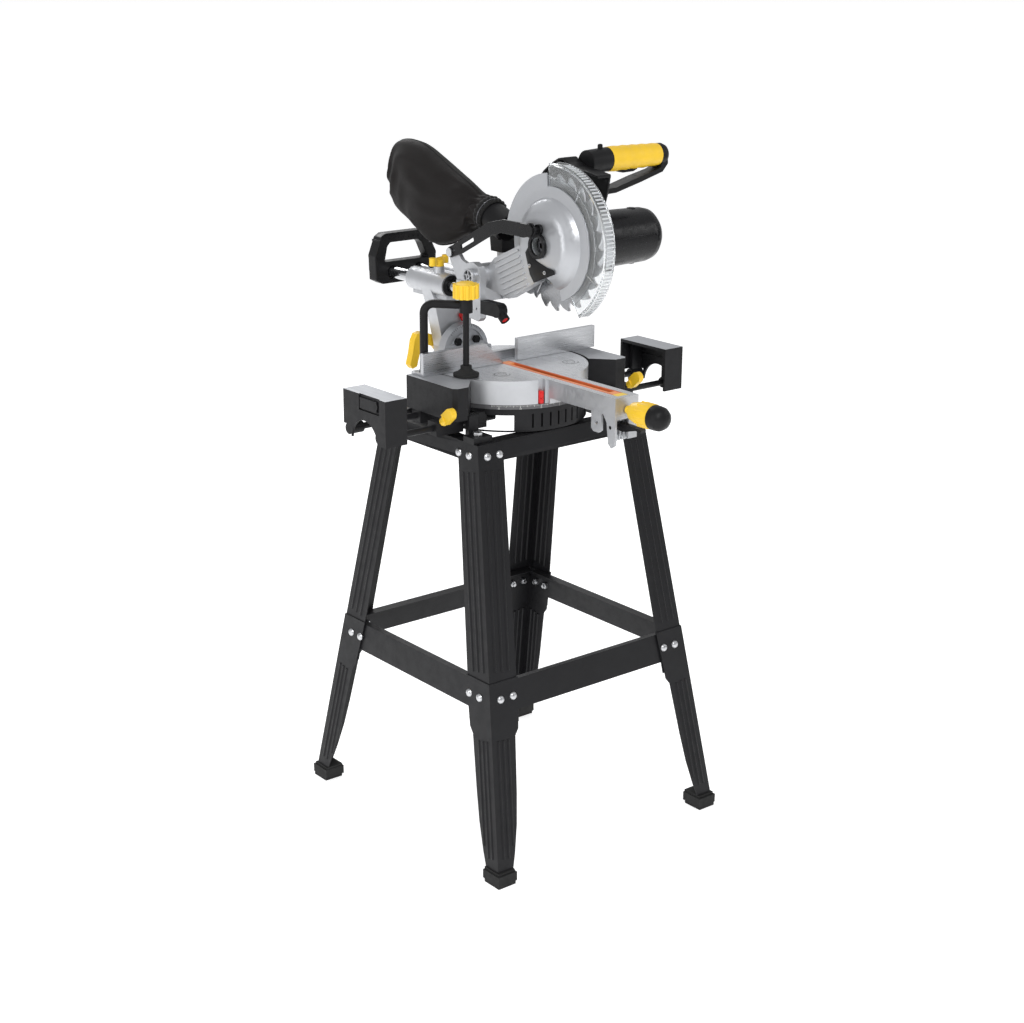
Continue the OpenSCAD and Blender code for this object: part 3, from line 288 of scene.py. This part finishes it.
# kerf insert: orange red, paler towards the slot, scuffed
k = M("insert", (0.62, 0.12, 0.03), 0.4, 0.0)
k.vary(40, 0.6, 0.8)
sd = k.math("ABSOLUTE", k.math("SUBTRACT", k.axis(0), 0.0))
k.over(k.ramp(sd, 0.0065, 0.0078, 1, 0), (0.78, 0.27, 0.08))
k.over(k.ramp(k.axis(1), -0.238, -0.2365, 1, 0), (0.8, 0.55, 0.05))
k.roughen(120, 0.3, 0.5).bump(k.noise(900, 2), 0.2, 0.0002)
mt["insert"] = k.m

# mitre scale ring: dark grey bead-blasted casting
k = M("scale_ring", (0.10, 0.10, 0.105), 0.4, 0.45)
k.vary(25, 0.5, 1.3).roughen(120, 0.34, 0.5)
k.bump(k.noise(900, 3), 0.25, 0.0002)
mt["scale"] = k.m

# blade: ground steel with rings turned about the arbor
AR = P(-11, -122, 974)
k = M("blade_steel", (0.50, 0.51, 0.53), 0.28, 1.0)
dy = k.math("SUBTRACT", k.axis(1), AR.y)
dz = k.math("SUBTRACT", k.axis(2), AR.z)
rr = k.math("SQRT", k.math("ADD", k.math("MULTIPLY", dy, dy), k.math("MULTIPLY", dz, dz)))
cmb = k.n("ShaderNodeCombineXYZ")
k.link(rr, cmb.inputs[0])
ring = k.noise(1600, 2, co=cmb.outputs[0])
k.over(k.ramp(ring, 0.35, 0.65, 0, 0.5), (0.36, 0.37, 0.39))
k.over(k.ramp(k.noise(30, 4), 0.5, 0.75, 0, 0.4), (0.62, 0.62, 0.63))
k.link(k.ramp(ring, 0.35, 0.65, 0.2, 0.36), k.b.inputs["Roughness"])
k.bump(ring, 0.15, 0.0001)
mt["blade"] = k.m

# clear moulded guard
k = M("clear_guard", (0.90, 0.92, 0.93), 0.08, 0.0, Transmission_Weight=0.92, IOR=1.4)
k.link(k.ramp(k.noise(60, 4), 0.3, 0.7, 0.04, 0.16), k.b.inputs["Roughness"])
k.bump(k.noise(90, 2), 0.05, 0.0006)
mt["clear"] = k.m

# woven nylon
k = M("nylon_cloth", (0.0058, 0.0047, 0.0046), 0.7, 0.0, Sheen_Weight=0.03, Sheen_Roughness=0.45, Specular_IOR_Level=0.18)
wv = None
for ax in ((0, 0, 0), (math.radians(90), 0, 0)):
    w = k.n("ShaderNodeTexWave", wave_type="BANDS", bands_direction="Y", wave_profile="SIN")
    w.inputs["Scale"].default_value = 420
    w.inputs["Distortion"].default_value = 0.6
    w.inputs["Detail"].default_value = 1
    k.link(k.mapped((1, 1, 1), rot=ax), w.inputs["Vector"])
    wv = w.outputs["Fac"] if wv is None else k.math("MAXIMUM", wv, w.outputs["Fac"])
k.over(k.ramp(wv, 0.2, 1, 0, 0.5), (0.012, 0.010, 0.0098))
k.over(k.ramp(k.noise(35, 5), 0.45, 0.8, 0, 0.35), (0.014, 0.0115, 0.011))
k.bump(wv, 0.4, 0.0003).bump(k.noise(45, 4), 0.15, 0.0015)
mt["cloth"] = k.m
k = M("clear_rib", (0.86, 0.88, 0.9), 0.3, 0.0, Transmission_Weight=0.45, IOR=1.4)
k.vary(60, 0.3, 0.9).bump(k.noise(300, 2), 0.1, 0.0002)
mt["clear_rib"] = k.m
mt["tip"] = steel("carbide", (0.34, 0.34, 0.35), 0.35, (1, 1, 1), 400)
k = M("webbing", (0.007, 0.007, 0.007), 0.8, 0.0, Sheen_Weight=0.08, Specular_IOR_Level=0.2)
k.vary(60, 0.6, 1.8)
k.bump(k.noise(800, 2, stretch=(1, 0.3, 1)), 0.5, 0.0004)
mt["webbing"] = k.m
# dark matte plastic for the tilt scale lines and zip teeth; also used as painted shade on the pivot boss floor,
# the motor cooling slots and the cast table marks
mt["mark_dark"] = plastic("mark_dark", (0.03, 0.03, 0.032), 0.5, 900, 0.1, 1.4)
mt["mark_white"] = plastic("mark_white", (0.62, 0.62, 0.6), 0.5, 900, 0.1, 0.85)

use = {
    "stand": "upper_legs lower_legs top_rails mid_rails",
    "base": "saw_base wing_left wing_right wing_stop_left",
    "cast_top": "turntable",
    "fence": "fence",
    "cast": "bevel_trunnion detent_bracket bevel_arm head_bracket head_casting",
    "silver": "blade_cover",
    "black": "mitre_lock_cap detent_lever rail_bushes rear_carry_handle laser_unit upper_shroud handle_frame dust_chute trigger lock_off_button bevel_stop_bolts clamp_arm clamp_screw brush_caps",
    "black_gloss": "guard_crank guard_link motor_housing",
    "yellow": "mitre_lock_handle bevel_lock_lever slide_lock_knob handle_grip clamp_knob wing_knob_left wing_knob_right",
    "rubber": "rubber_feet clamp_pad",
    "red": "mitre_pointer bevel_pointer laser_lens",
    "zinc": "stand_bolts stand_nuts base_bolts",
    "steel": "bevel_pin chop_pin motor_stator",
    "dark_steel": "arbor",
    "blade": "saw_blade",
    "copper": "armature",
    "chrome": "slide_rails",
    "insert": "kerf_insert",
    "scale": "mitre_scale_ring",
    "clear": "lower_guard",
    "cloth": "dust_bag",
}
for key, names in use.items():
    for nm in names.split():
        o = N[nm]
        o.data.materials.clear()
        o.data.materials.append(mt[key])

# ------------------------------------------------------------------ soften the CAD edges
BEV = {"stand_bolts": 0, "stand_nuts": 0, "saw_blade": 0, "armature": 0, "motor_stator": 0, "chop_pin": 0, "slide_rails": 0,
       "upper_legs": 0.0006, "lower_legs": 0.0006, "top_rails": 0.0006, "mid_rails": 0.0006,
       "saw_base": 0.0015, "turntable": 0.0012, "wing_left": 0.0015, "wing_right": 0.0015, "bevel_arm": 0.0025,
       "head_casting": 0.0012, "head_bracket": 0.002, "blade_cover": 0.0015, "upper_shroud": 0.0015,
       "fence": 0.0006, "laser_unit": 0.001, "detent_bracket": 0.001, "dust_chute": 0.0015, "guard_link": 0.001,
       "rear_carry_handle": 0.002, "mitre_scale_ring": 0.0006}


SMOOTH = {"rear_carry_handle": (0.0011, 9), "guard_link": (0.0008, 4), "upper_shroud": (0.0011, 7)}
ROUND = "blade_cover"


def soften(nm, o, w, angle=32):
    me = o.data
    if "custom_normal" in me.attributes:
        me.attributes.remove(me.attributes["custom_normal"])
    for p in me.polygons:
        p.use_smooth = True
    md = o.modifiers.new("weld", "WELD")
    md.merge_threshold = 0.00002
    if nm in SMOOTH:
        md = o.modifiers.new("remesh", "REMESH")
        md.mode = "VOXEL"
        md.voxel_size = SMOOTH[nm][0]
        md.use_smooth_shade = True
        md = o.modifiers.new("smooth", "SMOOTH")
        md.factor, md.iterations = 0.5, SMOOTH[nm][1]
        return
    if nm != ROUND:
        md = o.modifiers.new("planar", "DECIMATE")
        md.decimate_type = "DISSOLVE"
        md.angle_limit = math.radians(0.6)
    if w:
        md = o.modifiers.new("bevel", "BEVEL")
        md.width = w
        md.segments = 2
        md.limit_method = "ANGLE"
        md.angle_limit = math.radians(angle)
        md.use_clamp_overlap = True
        md.harden_normals = False
    else:
        md = o.modifiers.new("split", "EDGE_SPLIT")
        md.split_angle = math.radians(angle)
    md = o.modifiers.new("wn", "WEIGHTED_NORMAL")
    md.keep_sharp = True


for nm, o in N.items():
    soften(nm, o, BEV.get(nm, 0.0008))
# ------------------------------------------------------------------ pieces built here
def make(name, verts, faces, mats, body, slot=None, smooth=True, mids=None, bevel=0.0, replaces=(), angle=35):
    """a mesh from stand-centred millimetres, riding on a body"""
    me = bpy.data.meshes.new(name)
    me.from_pydata([tuple(P(*v)) for v in verts], [], faces)
    me.validate()
    bm = bmesh.new()
    bm.from_mesh(me)
    bmesh.ops.recalc_face_normals(bm, faces=bm.faces)
    bm.to_mesh(me)
    bm.free()
    for mm in mats if isinstance(mats, list) else [mats]:
        me.materials.append(mt[mm])
    if mids:
        for p, i in zip(me.polygons, mids):
            p.material_index = i
    for p in me.polygons:
        p.use_smooth = smooth
    ob = bpy.data.objects.new(name, me)
    sc.collection.objects.link(ob)
    if bevel:
        md = ob.modifiers.new("bevel", "BEVEL")
        md.width, md.segments, md.limit_method, md.angle_limit = bevel, 2, "ANGLE", math.radians(angle)
    if smooth:
        md = ob.modifiers.new("split", "EDGE_SPLIT")
        md.split_angle = math.radians(40)
    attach(ob, body)
    if replaces:
        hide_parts(*replaces)
    return ob


class Geo:
    def __init__(self):
        self.v, self.f, self.m = [], [], []

    def add(self, verts, faces, mi=0):
        o = len(self.v)
        self.v += [tuple(x) for x in verts]
        self.f += [[o + i for i in f] for f in faces]
        self.m += [mi] * len(faces)

    def loft(self, rings, mi=0, closed=True, caps=True, loop=False):
        n = len(rings[0])
        fs = []
        last = len(rings) if loop else len(rings) - 1
        for i in range(last):
            a, b = i * n, ((i + 1) % len(rings)) * n
            for j in range(n if closed else n - 1):
                k2 = (j + 1) % n
                fs.append([a + j, a + k2, b + k2, b + j])
        if caps and not loop:
            fs.append(list(range(n))[::-1])
            fs.append([(len(rings) - 1) * n + j for j in range(n)])
        self.add([p for r in rings for p in r], fs, mi)

    def box(self, origin, ex, ey, ez, sx, sy, sz, mi=0):
        o = Vector(origin)
        vs = [o + ex * (a * sx / 2) + ey * (b * sy / 2) + ez * (c * sz / 2) for a in (-1, 1) for b in (-1, 1) for c in (-1, 1)]
        self.add(vs, [[0, 1, 3, 2], [4, 6, 7, 5], [0, 4, 5, 1], [2, 3, 7, 6], [0, 2, 6, 4], [1, 5, 7, 3]], mi)

    def revolve_x(self, prof, cy, cz, a0=0, a1=360, n=72, mi=0):
        """closed (r, x) outline turned about an X axis"""
        full = a1 - a0 >= 360
        k = n if full else n + 1
        rings = []
        for i in range(k):
            a = math.radians(a0 + (a1 - a0) * i / n)
            rings.append([(x, cy + r * math.cos(a), cz + r * math.sin(a)) for r, x in prof])
        self.loft(rings, mi, True, not full, full)

    def cyl(self, c, d, r, h, n=24, mi=0, r2=None):
        d = Vector(d).normalized()
        u = d.orthogonal().normalized()
        w = d.cross(u)
        c = Vector(c)
        rings = []
        for t, rad in ((0, r), (h, r if r2 is None else r2)):
            rings.append([c + d * t + (u * math.cos(2 * math.pi * i / n) + w * math.sin(2 * math.pi * i / n)) * rad for i in range(n)])
        self.loft(rings, mi)

    def done(self, name, mats, body, **kw):
        return make(name, self.v, self.f, mats, body, mids=self.m, **kw)


X, Y, Z = Vector((1, 0, 0)), Vector((0, 1, 0)), Vector((0, 0, 1))
AY, AZ = -122, 974

# clear moving guard: wall, rim with raised flanges, and a ladder of ribs
g = Geo()
G0, G1 = 85, 238
g.revolve_x([(55, -24), (119.5, -24), (122.2, -23.7), (122.6, -22.6), (122.4, -21.2), (121, -20.6), (121, -7.4), (122.4, -6.8), (122.6, -5.4), (122.2, -4.3),
             (119.4, -4), (118.6, -5), (118.6, -19.6), (117.4, -22), (55, -22)], AY, AZ, G0, G1, 110, 0)
g.revolve_x([(14, -52), (17, -52), (17, -26), (19, -24), (62, -24), (62, -22), (14, -22)], AY, AZ, 0, 360, 72, 0)
a = G0 + 15
while a < G1 - 1:
    r0 = math.radians(a)
    er = Vector((0, math.cos(r0), math.sin(r0)))
    et = Vector((0, -math.sin(r0), math.cos(r0)))
    g.box(Vector((-14, AY, AZ)) + er * 121.6, X, et, er, 13.6, 2.3, 2.0, 1)
    a += 2.9
# stiffening ring on the side wall
g.revolve_x([(99, -24.9), (101, -24.9), (101.4, -23.9), (98.6, -23.9)], AY, AZ, G0 + 2, G1 - 2, 90, 0)
g.done("clear_lower_guard", ["clear", "clear_rib"], "guard", slot="clear", replaces=("lower_guard",))

# carbide tips
g = Geo()
for i in range(24):
    a = math.radians(i * 15 - 0.75)
    er = Vector((0, math.cos(a), math.sin(a)))
    et = Vector((0, -math.sin(a), math.cos(a)))
    g.box(Vector((-11, AY, AZ)) + er * 101.3, X, et, er, 3.0, 2.2, 6.6)
g.done("blade_tips", "tip", "blade", slot="steel", smooth=False, bevel=0.0002)

# black side plate below the spindle, with two screws
g = Geo()
pl = [(33, -14), (25.5, -4), (19, -17), (4, -24.5), (-17, -31), (-33, -33), (-36, -39), (-13, -48), (12, -58), (22, -46)]
g.loft([[(x, AY + y, AZ + z) for y, z in pl] for x in (-48.1, -49.9)])
for y, z in ((22, -33), (-14, -39)):
    g.cyl((-49.9, AY + y, AZ + z), -X, 3.0, 1.2, 20, 1)
    g.cyl((-51.0, AY + y, AZ + z), -X, 1.5, 0.25, 6, 0)
g.done("head_side_plate", ["black", "zinc"], "head", slot="black_plastic", bevel=0.0005)

# spoked boss over the pivot pin
g = Geo()
py, pz = 23, 909
g.revolve_x([(10.2, -70.1), (12.5, -70.1), (12.5, -75), (11.6, -75.6), (10.2, -75.6)], py, pz, mi=0, n=48)
g.revolve_x([(2.4, -70.1), (4.2, -70.1), (4.2, -75.6), (2.4, -75.6)], py, pz, mi=0, n=32)
for i in range(5):
    r0 = math.radians(90 + 72 * i)
    er = Vector((0, math.cos(r0), math.sin(r0)))
    et = Vector((0, -math.sin(r0), math.cos(r0)))
    g.box(Vector((-72.6, py, pz)) + er * 7.2, X, et, er, 4.6, 1.7, 7.0, 0)
# dark disc on the floor of the boss between the spokes: painted shade standing in for the shaded recess
g.cyl((-70.05, py, pz), -X, 10.4, 0.9, 40, 1)
g.done("pivot_spoke_boss", ["cast", "mark_dark"], "carriage", slot="cast_alu", bevel=0.0003)

# motor body lines: parting ridge, cooling slots near the end
g = Geo()
MY, MZ = -97, 966
for a in (172, 352):
    r0 = math.radians(a)
    er = Vector((0, math.cos(r0), math.sin(r0)))
    et = Vector((0, -math.sin(r0), math.cos(r0)))
    g.box(Vector((118, MY, MZ)) + er * 44.9, X, et, er, 118, 3.0, 2.2, 0)
# cooling slots drawn as dark matte patches: painted shade standing in for the openings
for i in range(26):
    a = i * 360 / 26 + 6
    r0 = math.radians(a)
    er = Vector((0, math.cos(r0), math.sin(r0)))
    et = Vector((0, -math.sin(r0), math.cos(r0)))
    g.box(Vector((66, MY, MZ)) + er * 45.2, X, et, er, 15, 2.6, 1.4, 1)
g.revolve_x([(44.2, 56), (46.8, 56), (46.8, 57.6), (44.2, 57.6)], MY, MZ, n=80)
g.revolve_x([(44.2, 75), (46.5, 75), (46.5, 76.4), (44.2, 76.4)], MY, MZ, n=80)
g.done("motor_trim", ["black_gloss", "mark_dark"], "head", slot="black_plastic", bevel=0.0003)

# mitre scale: graduations and plain degree numbers on the ring face
g = Geo()
for d in range(-50, 51):
    h = 3.4 if d % 15 == 0 else 2.6 if d % 5 == 0 else 1.6
    a = math.radians(d - 90)
    er = Vector((math.cos(a), math.sin(a), 0))
    et = Vector((-math.sin(a), math.cos(a), 0))
    g.box(Vector((-11, 0, 726.0 - h / 2)) + er * 129.15, et, Z, er, 0.45 if d % 5 else 0.7, h, 0.3)
g.done("mitre_graduations", "mark_white", "stand", smooth=False)
for d in (-45, -30, -15, 0, 15, 30, 45):
    cu = bpy.data.curves.new("deg", "FONT")
    cu.body = str(abs(d))
    cu.size = 0.0034
    cu.extrude = 0.0001
    cu.align_x = "CENTER"
    t = bpy.data.objects.new("tmp", cu)
    sc.collection.objects.link(t)
    bpy.context.view_layer.update()
    me = bpy.data.meshes.new_from_object(t)
    bpy.data.objects.remove(t)
    a = math.radians(d - 90)
    er = Vector((math.cos(a), math.sin(a), 0))
    et = Vector((-math.sin(a), math.cos(a), 0))
    mx = Matrix((et, Z, er)).transposed().to_4x4()
    mx.translation = P(-11, 0, 720.0) + er * 0.12925
    me.transform(mx)
    me.materials.clear()
    me.materials.append(mt["mark_white"])
    nb = bpy.data.objects.new("mitre_number_%s%d" % ("l" if d < 0 else "r", abs(d)), me)
    sc.collection.objects.link(nb)
    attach(nb, "stand")

# tilt scale on the rear trunnion
g = Geo()
for d in range(0, 50, 5):
    for s_ in (-1, 1):
        a = math.radians(90 + s_ * d)
        er = Vector((math.cos(a), 0, math.sin(a)))
        et = Vector((-math.sin(a), 0, math.cos(a)))
        h = 4 if d % 15 == 0 else 2.6
        g.box(Vector((-11, 109.95, 765)) + er * (45 - h / 2), et, er, Y, 0.6, h, 0.3)
g.done("tilt_graduations", "mark_dark", "table", smooth=False)

# ribs inside the rear carry handle loop
g = Geo()
for i in range(12):
    x = -76 + i * 10.0
    g.box((x, 273, 936.6 if -58 < x < 6 else 934), X, Y, Z, 1.6, 23.6, 3.4)
g.loft([[(x, 260.6, z) for x, z in ((-60, 942), (8, 942), (6, 944.6), (-58, 944.6))], [(x, 285.4, z) for x, z in ((-60, 942), (8, 942), (6, 944.6), (-58, 944.6))]])
g.done("rear_handle_ribs", "black", "carriage", slot="black_plastic", bevel=0.0004)

# shallow round marks cast in the table, drawn as thin dark rings: painted shade standing in for the shade in the
# shallow grooves
zt = max((N["turntable"].matrix_world @ v.co).z for v in N["turntable"].data.vertices) * 1000
g = Geo()
for cx, cy in ((-69.6, -58), (71.8, -59)):
    for r0, r1, a0, a1 in ((12.2, 13.2, 20, 340), (6.8, 7.6, -130, 130)):
        n = 40
        rings = []
        for i in range(n + 1):
            a = math.radians(a0 + (a1 - a0) * i / n)
            rings.append([(cx + r * math.cos(a), cy + r * math.sin(a), z) for r, z in ((r0, zt - 0.1), (r1, zt - 0.1), (r1, zt + 0.12), (r0, zt + 0.12))])
        g.loft(rings)
g.done("table_mark_painted_shade", "mark_dark", "table", smooth=False)

# ribbed block under the table arm
g = Geo()
for i in range(5):
    g.box((-7.5 + 5.6 * i, -253, 703), X, Y, Z, 3.4, 15, 26)
g.box((3.7, -251, 703), X, Y, Z, 25.5, 12, 24)
g.box((3.7, -251, 718), X, Y, Z, 22, 10, 8)
g.done("arm_ribbed_block", "cast", "table", slot="cast_alu", bevel=0.0006)

# ------------------------------------------------------------------ dust bag
TB = [((42.3, 1019.5), (59.8, 971.5), 25.5), ((60, 1026), (77, 977.5), 25.8), ((84, 1038), (100, 968), 29), ((112, 1051), (122, 954), 33),
      ((150, 1066), (152, 941), 37), ((190, 1084), (187, 934), 38), ((222, 1098), (212, 938), 36), ((250, 1104), (240, 952), 33),
      ((275, 1104.5), (264, 965), 29), ((297, 1100), (290, 977), 24), ((314, 1089), (311, 988), 18), ((324, 1070), (321, 1005), 11), ((328, 1050), (328, 1030), 4)]


def cr(p, t):
    """Catmull-Rom along a list of tuples"""
    n = len(p) - 1
    i = min(int(t * n), n - 1)
    f = t * n - i
    q = [p[max(0, min(n, i + k))] for k in (-1, 0, 1, 2)]
    return tuple(0.5 * (2 * b + (c - a) * f + (2 * a - 5 * b + 4 * c - d) * f * f + (3 * b - a - 3 * c + d) * f ** 3) for a, b, c, d in zip(*q))


flat = [(t[0], t[1], b[0], b[1], w) for t, b, w in TB]
NR, NA = 54, 72
bx = -8
rings = []
for i in range(NR):
    u = i / (NR - 1)
    ty, tz, by, bz, w = cr(flat, u)
    cx = -3 + (bx + 3) * min(1, u * 4)
    k_ = min(1, u * 5)
    ring = []
    for j in range(NA):
        ph = 2 * math.pi * j / NA
        s_, c_ = math.sin(ph), math.cos(ph)
        # round at the mouth, two panels meeting in a seam further back
        e = 1 - 0.16 * k_
        xx = w * 0.96 * (abs(s_) ** e) * (1 if s_ >= 0 else -1)
        ring.append((cx + xx, (ty + by) / 2 + c_ * (ty - by) / 2, (tz + bz) / 2 + c_ * (tz - bz) / 2))
    rings.append(ring)
g = Geo()
g.loft(rings, caps=False)
o = len(g.v) - NA
# close the far end: the two panels meet
for j in range(1, NA // 2):
    a1_, a2_, b1_, b2_ = o + j, o + j + 1, o + NA - j, (o + NA - j - 1)
    if j == 1:
        g.f.append([o, o + 1, o + NA - 1]); g.m.append(0)
    if j < NA // 2 - 1:
        g.f.append([a1_, a2_, b2_, b1_]); g.m.append(0)
    else:
        g.f.append([a1_, a2_, b1_]); g.m.append(0)
bag = make("dust_bag_cloth", g.v, g.f, "cloth", "head", slot="cloth", replaces=("dust_bag",))
for md in list(bag.modifiers):
    bag.modifiers.remove(md)
rest = [v.co.copy() for v in bag.data.vertices]
bag.parent = None
pin = bag.vertex_groups.new(name="pin")
for i in range(NR):
    wt = 1.0 if i < 6 else max(0.0, 0.35 - 0.05 * (i - 6)) if i < 13 else 0.0
    if wt:
        pin.add(range(i * NA, (i + 1) * NA), wt, "REPLACE")
cl = bag.modifiers.new("cloth", "CLOTH")
cs = cl.settings
cs.quality = 5
cs.mass = 0.15
cs.tension_stiffness = cs.compression_stiffness = 9
cs.shear_stiffness = 4
cs.bending_stiffness = 0.12
cs.vertex_group_mass = "pin"
cs.shrink_min = -0.05
cs.use_pressure = True
cs.uniform_pressure_force = 0.35
cs.effector_weights.gravity = 0.35
cl.collision_settings.use_collision = False
for fr in range(1, 27):
    sc.frame_set(fr)
dg = bpy.context.evaluated_depsgraph_get()
ev = bag.evaluated_get(dg).to_mesh()
sim = [v.co.copy() for v in ev.vertices]
bag.evaluated_get(dg).to_mesh_clear()
bag.modifiers.remove(cl)
bag.vertex_groups.clear()
sc.frame_set(1)
for v, a_, b_ in zip(bag.data.vertices, rest, sim):
    d = b_ - a_
    cap = 0.008
    v.co = a_ + (d * (cap * math.tanh(d.length / cap) / d.length) if d.length > 1e-9 else d)
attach(bag, "head")
# slack folds: creases running out from the mouth, and shallow drag lines on the panels
for i in range(5, NR - 1):
    u = i / (NR - 1)
    for j in range(NA):
        v = bag.data.vertices[i * NA + j]
        ph = 2 * math.pi * j / NA
        side = math.sin(ph)
        s_ = (u - 0.1) * 0.31
        h_ = math.cos(ph) * 0.07
        f = 0.0024 * math.exp(-s_ / 0.035) * math.sin(13 * ph + 1.5 * math.sin(2 * ph))
        q = s_ * 46 + h_ * 70 + 1.7 * math.sin(s_ * 31 - h_ * 24 + (2 if side > 0 else 0))
        f += 0.0026 * abs(side) * (1 - 2 * abs(math.sin(q))) * (0.35 + 0.65 * math.sin(s_ * 17 + h_ * 9 + (1 if side > 0 else 4)) ** 2)
        q = s_ * 60 - h_ * 38 + 1.1 * math.sin(h_ * 60 + s_ * 12)
        f += 0.0013 * abs(side) * math.sin(q)
        v.co.x += f * (1 if side > 0 else -1) * min(1, abs(side) * 2)
        v.co.z += 0.4 * f * math.cos(ph)
co = [v.co.copy() for v in bag.data.vertices]
sd = bag.modifiers.new("thick", "SOLIDIFY")
sd.thickness, sd.offset = 0.0009, 0
sb = bag.modifiers.new("sub", "SUBSURF")
sb.levels = sb.render_levels = 1


def tube(name, pts, r, mat_, body, closed=False, slot_=None, n=8):
    g = Geo()
    rr_ = []
    N_ = len(pts)
    for i, p in enumerate(pts):
        a_ = pts[(i - 1) % N_ if closed else max(0, i - 1)]
        b_ = pts[(i + 1) % N_ if closed else min(N_ - 1, i + 1)]
        d = (Vector(b_) - Vector(a_)).normalized()
        u = d.cross(X)
        u = u.normalized() if u.length > 0.2 else d.orthogonal().normalized()
        w = d.cross(u)
        rr_.append([Vector(p) + (u * math.cos(2 * math.pi * k / n) + w * math.sin(2 * math.pi * k / n)) * r for k in range(n)])
    g.loft(rr_, 0, True, not closed, closed)
    return g.done(name, mat_, body, slot=slot_)


def mm(v):
    return Vector(((v.x - OX) * 1000, (v.y - OY) * 1000, v.z * 1000))


top_edge = [mm(co[i * NA]) for i in range(5, NR)]
bot_edge = [mm(co[i * NA + NA // 2]) for i in range(5, NR)]
tube("bag_piping", top_edge + bot_edge[::-1], 1.25, "webbing", "head", slot_="cloth")
# zip along the lower seam
g = Geo()
seg = bot_edge[12:-6]
for i in range(len(seg) - 1):
    a_, b_ = seg[i], seg[i + 1]
    d = (b_ - a_).normalized()
    nrm = d.cross(X).normalized()
    if nrm.z > 0:
        nrm = -nrm
    for q in range(3):
        c = a_ + (b_ - a_) * ((q + 0.5) / 3) + nrm * 1.6
        g.box(c, X, d, nrm, 4.2 if q % 2 else 3.4, 1.1, 1.2, 0)
c = seg[len(seg) // 3]
g.box(c + Vector((0, 0, -3)), X, Y, Z, 7, 9, 2.4, 1)
g.box(c + Vector((0, -8, -4.2)), X, Y, Z, 4, 12, 1.0, 1)
g.done("bag_zip", ["mark_dark", "dark_steel"], "head", slot="black_plastic", bevel=0.0002)
# gathered elastic collar round the chute
d0 = Vector((0, math.sin(math.radians(70)), math.cos(math.radians(70))))
n0 = Vector((0, -d0.z, d0.y))
C0 = Vector((-3, 36, 990))
rr_ = []
for s0, r0, rip in ((13.0, 25.0, 0.2), (13.2, 26.6, 0.5), (15, 28.0, 1.2), (17.5, 28.4, 1.3), (20, 26.6, 0.7), (22.5, 26.4, 0.6), (25, 28.0, 1.2), (28, 28.2, 1.2), (32, 26.6, 0.8), (33, 25.6, 0.2), (25, 25.2, 0.0), (15, 25.0, 0.0)):
    ring = []
    for j in range(144):
        ph = 2 * math.pi * j / 144
        r = r0 + rip * math.sin(22 * ph + 0.9 * math.sin(3 * ph)) * (0.8 + 0.2 * math.sin(5 * ph))
        ring.append(C0 + d0 * s0 + X * (r * math.cos(ph)) + n0 * (r * math.sin(ph)))
    rr_.append(ring)
g = Geo()
g.loft(rr_, 0, True, False, True)
g.done("bag_collar", "webbing", "head", slot="cloth")
ring = [C0 + d0 * 21.2 + (X * math.cos(2 * math.pi * j / 60) + n0 * math.sin(2 * math.pi * j / 60)) * 27.2 for j in range(60)]
tube("bag_clip_ring", ring, 1.1, "dark_steel", "head", closed=True, slot_="steel")

# ------------------------------------------------------------------ stage
bm = bmesh.new()
s = 60
vs = [bm.verts.new((x, y, 0)) for x, y in ((-s, -s), (s, -s), (s, s), (-s, s))]
bm.faces.new(vs)
me = bpy.data.meshes.new("floor")
bm.to_mesh(me)
bm.free()
floor = bpy.data.objects.new("floor", me)
sc.collection.objects.link(floor)
k = M("floor_mat", (0.93, 0.93, 0.93), 0.8, 0.0)
k.vary(0.6, 0.15, 0.98)
k.b.inputs["Emission Color"].default_value = (1, 1, 1, 1)
k.b.inputs["Emission Strength"].default_value = 0.5
floor.data.materials.append(k.m)
# dark cards beside the set give the metal something to reflect
k = M("card_mat", (0.02, 0.02, 0.02), 0.9, 0.0)
k.vary(3, 0.4, 1.4)
for i, (cx, cy, rz) in enumerate(((2.6, -1.3, 62), (-2.7, 1.3, 62), (1.2, -3.4, 20))):
    bm = bmesh.new()
    vs = [bm.verts.new(v) for v in ((-0.45, 0, 0.1), (0.45, 0, 0.1), (0.45, 0, 2.3), (-0.45, 0, 2.3))]
    bm.faces.new(vs)
    me = bpy.data.meshes.new("card%d" % i)
    bm.to_mesh(me)
    bm.free()
    me.materials.append(k.m)
    ob = bpy.data.objects.new("card%d" % i, me)
    ob.location = (cx, cy, 0)
    ob.rotation_euler = (0, 0, math.radians(rz))
    sc.collection.objects.link(ob)
